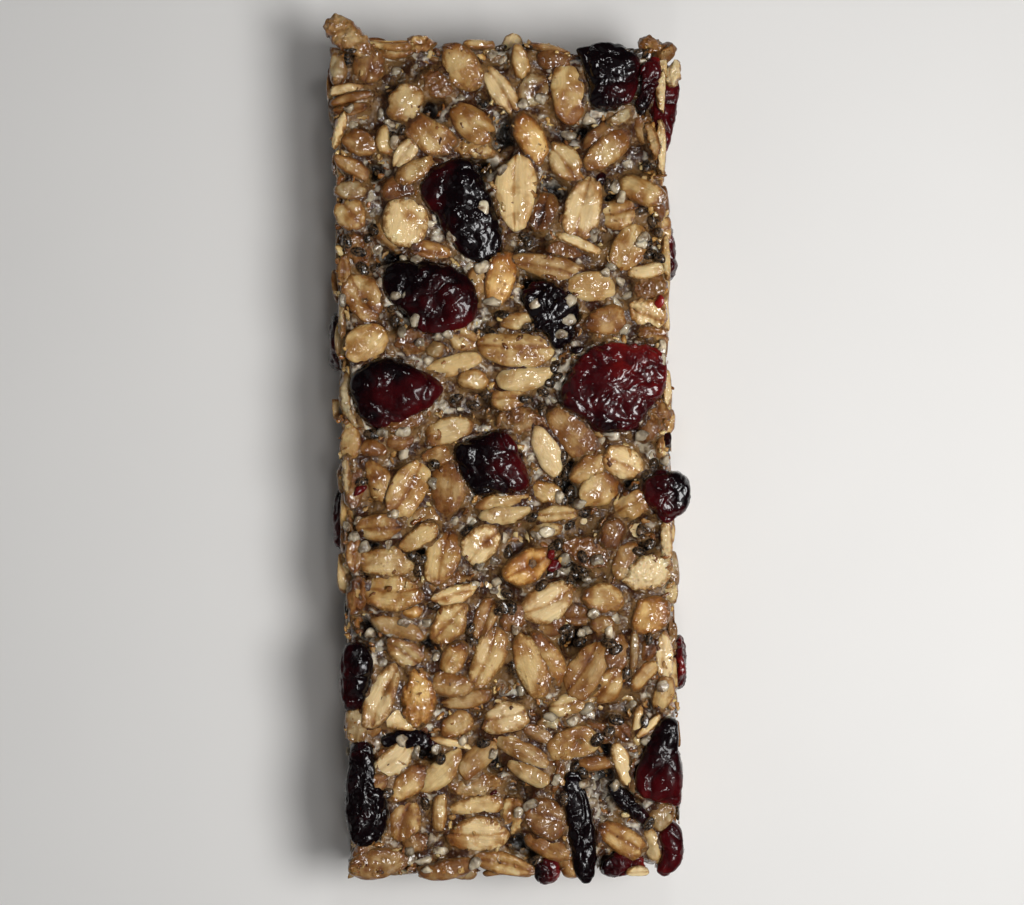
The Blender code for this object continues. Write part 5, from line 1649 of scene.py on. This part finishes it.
# bits of bran and broken oat stuck to the syrup
crumbLook = {
    "rim": 260,                # along the top's edge, where the knife went through
    "number": {"top": 520, "right": 150, "left": 150, "far": 55, "near": 55, "base": 70},
    "size": (0.3, 0.85),
    "tones": ["brown", "tan", "orange", "golden", "pale"],
    "loose": 0.35,             # share on the sides that stands out past the knife's cut
}


def addCrumb(rng, face, a, b, level, size, tilt, loose):
    grid = grids["crumb"]
    points = pebble(grid, size * rng.uniform(1.0, 2.2), size * rng.uniform(0.6, 1.0),
                    size * rng.uniform(0.35, 0.7), boxy=0.6)
    points = points + 0.14 * size * np.column_stack([makeWobble(rng, 0.7, 5)(points) for _ in range(3)])
    grain = points + np.array([rng.uniform(-400, 400), rng.uniform(-400, 400), 0])
    points = turned(points, rng.uniform(0, 360), tilt, rng.uniform(-25, 25))
    placed = pressed(face.world(points + np.array([a, b, float(level)])), loose)
    base, hexText = oatTones[rng.choice(crumbLook["tones"])]
    crumbs.add(grid, placed, {
        "flakeGrain": grain, "flakeTint": np.array(linearColour(hexText)),
        "flakeMarks": np.column_stack([np.full(len(placed), base + rng.uniform(-0.1, 0.42)),
                                       np.full(len(placed), 9.0), grid["reach"] * 0.7]),
        "flakeState": np.array([rng.uniform(0.3, 1.0), 0.3, 0.0]),
    })


print("crumbs")
crumbs = Batch()
for seed, (name, face) in enumerate(faces.items(), start=80):
    rng = random.Random(seed)
    placedCrumbs = 0
    while placedCrumbs < crumbLook["number"][name]:
        a, b = rng.uniform(face.low[0], face.high[0]), rng.uniform(face.low[1], face.high[1])
        if face.pick(face.fruit, a, b) > 0.1 or face.pick(face.flakes, a, b) > 0.4 and rng.random() < 0.9:
            continue
        placedCrumbs += 1
        level = max(face.pick(face.poured, a, b), face.height(a, b) - 0.2)
        addCrumb(rng, face, a, b, level, rng.uniform(*crumbLook["size"]),
                 (rng.gauss(0, 0.2), rng.gauss(0, 0.2)),
                 name not in ("top", "base") and rng.random() < crumbLook["loose"])

rng = random.Random(90)
for _ in range(crumbLook["rim"]):
    side, inset, size = rng.choice((-1, 1)), abs(rng.gauss(0, 0.9)) + 0.15, rng.uniform(0.4, 0.95)
    if rng.random() < 0.62:
        y = rng.uniform(-50.5, 50.5)
        x = side * (wallX(y, 15) - inset)
    else:
        x = rng.uniform(-20.5, 20.5)
        y = side * (wallY(x, 15, side) - inset)
    if onFruit(topFace, x, y, 0.5):
        continue
    level = max(topFace.pick(topFace.poured, 0.97 * x, 0.99 * y), 14.2)
    level -= rng.uniform(0, 0.9) * (inset < 0.5)
    addCrumb(rng, topFace, x, y, level, size, (rng.uniform(-0.5, 0.5), rng.uniform(-0.5, 0.5)), True)

# torn bits of fruit skin: face, place on it, turn, length, width, how red
fruitBits = [
    ("top", 19.6, 1.7, 20, 2.4, 1.7, 0.30), ("top", 19.2, 18.5, 60, 1.7, 1.2, 1.15),
    ("top", 5.5, -13.5, 30, 1.9, 1.4, 0.85), ("top", -17.9, -3.6, 35, 1.9, 1.0, 0.80),
    ("top", 5.3, -12.1, 80, 1.2, 0.9, 0.9), ("top", 12.3, 33.6, 70, 2.0, 1.2, 0.25),
    ("top", -2.4, -41.0, 20, 1.1, 0.7, 0.7), ("top", 9.1, 12.9, 10, 1.5, 0.9, 0.3),
    ("top", -12.9, 24.6, 40, 1.6, 0.9, 0.1), ("right", 20.5, 8.5, 10, 2.2, 1.5, 0.8),
    ("right", -24.0, 5.0, -20, 1.8, 1.3, 0.5), ("left", 14.0, 9.0, 30, 2.1, 1.5, 0.7),
    ("left", -38.0, 6.5, 0, 2.0, 1.4, 0.9), ("far", 9.0, 8.0, 15, 1.9, 1.3, 0.7),
    ("near", -9.0, 6.0, -15, 2.0, 1.4, 0.8),
]
torn = Batch()
rng = random.Random(97)
for name, a, b, turn, length, width, red in fruitBits:
    face, grid = faces[name], grids["seed"]
    points = pebble(grid, length, width, 0.9, boxy=0.6)
    points = points + 0.10 * np.column_stack([makeWobble(rng, 1.1, 7)(points) for _ in range(3)])
    level = max(face.pick(face.poured, a, b), face.height(a, b)) + 0.12
    lying = turned(points, turn, (rng.gauss(0, 0.1), rng.gauss(0, 0.1)))
    placed = pressed(face.world(lying + np.array([a, b, float(level)])))
    torn.add(grid, placed, {"berryGrain": points + rng.uniform(-90, 90),
                            "berryMarks": np.array([red, 0.1, 0.6])})

for name, batch in {"oatFlakes.top": topFlakes, "oatFlakes.bed": bedFlakes, "oatFlakes.sides": sideFlakes,
                    "oatFlakes.ends": endFlakes, "oatFlakes.base": baseFlakes, "oatCrumbs": crumbs}.items():
    batch.object(name, oatMaterial, "pressed_oats")
seedKinds["chia"]["batch"].object("chiaSeeds", chiaMaterial, "chia_seed")
seedKinds["grain"]["batch"].object("paleGrains", grainMaterial, "pale_grain")
torn.object("cranberryBits", cranberryMaterial, "dried_cranberry")


stage = {
    "floor": "#e9e7e4",
    "floorMm": 4000.0,
    "skyStrength": 0.04,
    "sky": "#eef1f5",
    # lamps: which side in degrees from +X, how far up, how far off and how large in mm, watts
    "lamps": {
        "softbox": (-12.0, 64.0, 281.0, 205.0, 0.17),
        "softboxCore": (-12.0, 64.0, 280.0, 108.0, 0.49),
        "accentFar": (75.0, 62.0, 330.0, 38.0, 0.075),
        "accentNear": (-85.0, 64.0, 330.0, 38.0, 0.075),
        "fillLeft": (165.0, 32.0, 620.0, 520.0, 0.10),
        "fillNear": (-105.0, 32.0, 620.0, 520.0, 0.12),
    },
    "topMm": 16.0,               # the level that the view's width is measured at
    "viewWidthMm": 124.9,
    "lensMm": 82.0,
    "viewCentreMm": (0.74, 0.53),
    "viewTurnDegrees": -1.27,
}


def makeFloor():
    material, add, shader = newMaterial("matteWhiteBoard", {"Roughness": 0.75})
    place = add("NewGeometry")
    speckle = add("TexNoise", place, Scale=40.0, Detail=2.0)
    shade = add("MapRange", speckle, 0.3, 0.7, 0.985, 1.0)
    colour = add("Mix.MULTIPLY", 1.0, stage["floor"], shade)
    wire(shader, {"Base Color": colour})
    half = stage["floorMm"] / 2
    points = np.array([[x * half, y * half, -0.03] for x, y in ((-1, -1), (1, -1), (1, 1), (-1, 1))])
    floor = makeMesh("floor", points, np.array([[0, 1, 2, 3]]), material)


def makeLights():
    world = bpy.data.worlds.new("studio")
    bpy.context.scene.world = world
    world.use_nodes = True
    background = world.node_tree.nodes["Background"]
    background.inputs["Color"].default_value = linearColour(stage["sky"])
    background.inputs["Strength"].default_value = stage["skyStrength"]
    for name, (side, up, far, size, power) in stage["lamps"].items():
        side, up = math.radians(side), math.radians(up)
        aim = Vector((math.cos(up) * math.cos(side), math.cos(up) * math.sin(side), math.sin(up)))
        data = bpy.data.lights.new(name, "AREA")
        data.shape = "DISK"
        data.size = size * mm
        data.energy = power
        lamp = bpy.data.objects.new(name, data)
        lamp.location = aim * far * mm
        lamp.rotation_euler = aim.to_track_quat("Z", "Y").to_euler()
        bpy.context.scene.collection.objects.link(lamp)


def makeCamera():
    data = bpy.data.cameras.new("camera")
    data.sensor_width = 36.0
    data.lens = stage["lensMm"]
    away = stage["viewWidthMm"] * stage["lensMm"] / data.sensor_width
    camera = bpy.data.objects.new("camera", data)
    camera.location = Vector((*stage["viewCentreMm"], stage["topMm"] + away)) * mm
    camera.rotation_euler = (0, 0, math.radians(stage["viewTurnDegrees"]))
    bpy.context.scene.collection.objects.link(camera)
    bpy.context.scene.camera = camera


print("stage")
makeFloor()
makeLights()
makeCamera()
bpy.context.scene.view_settings.view_transform = "Standard"
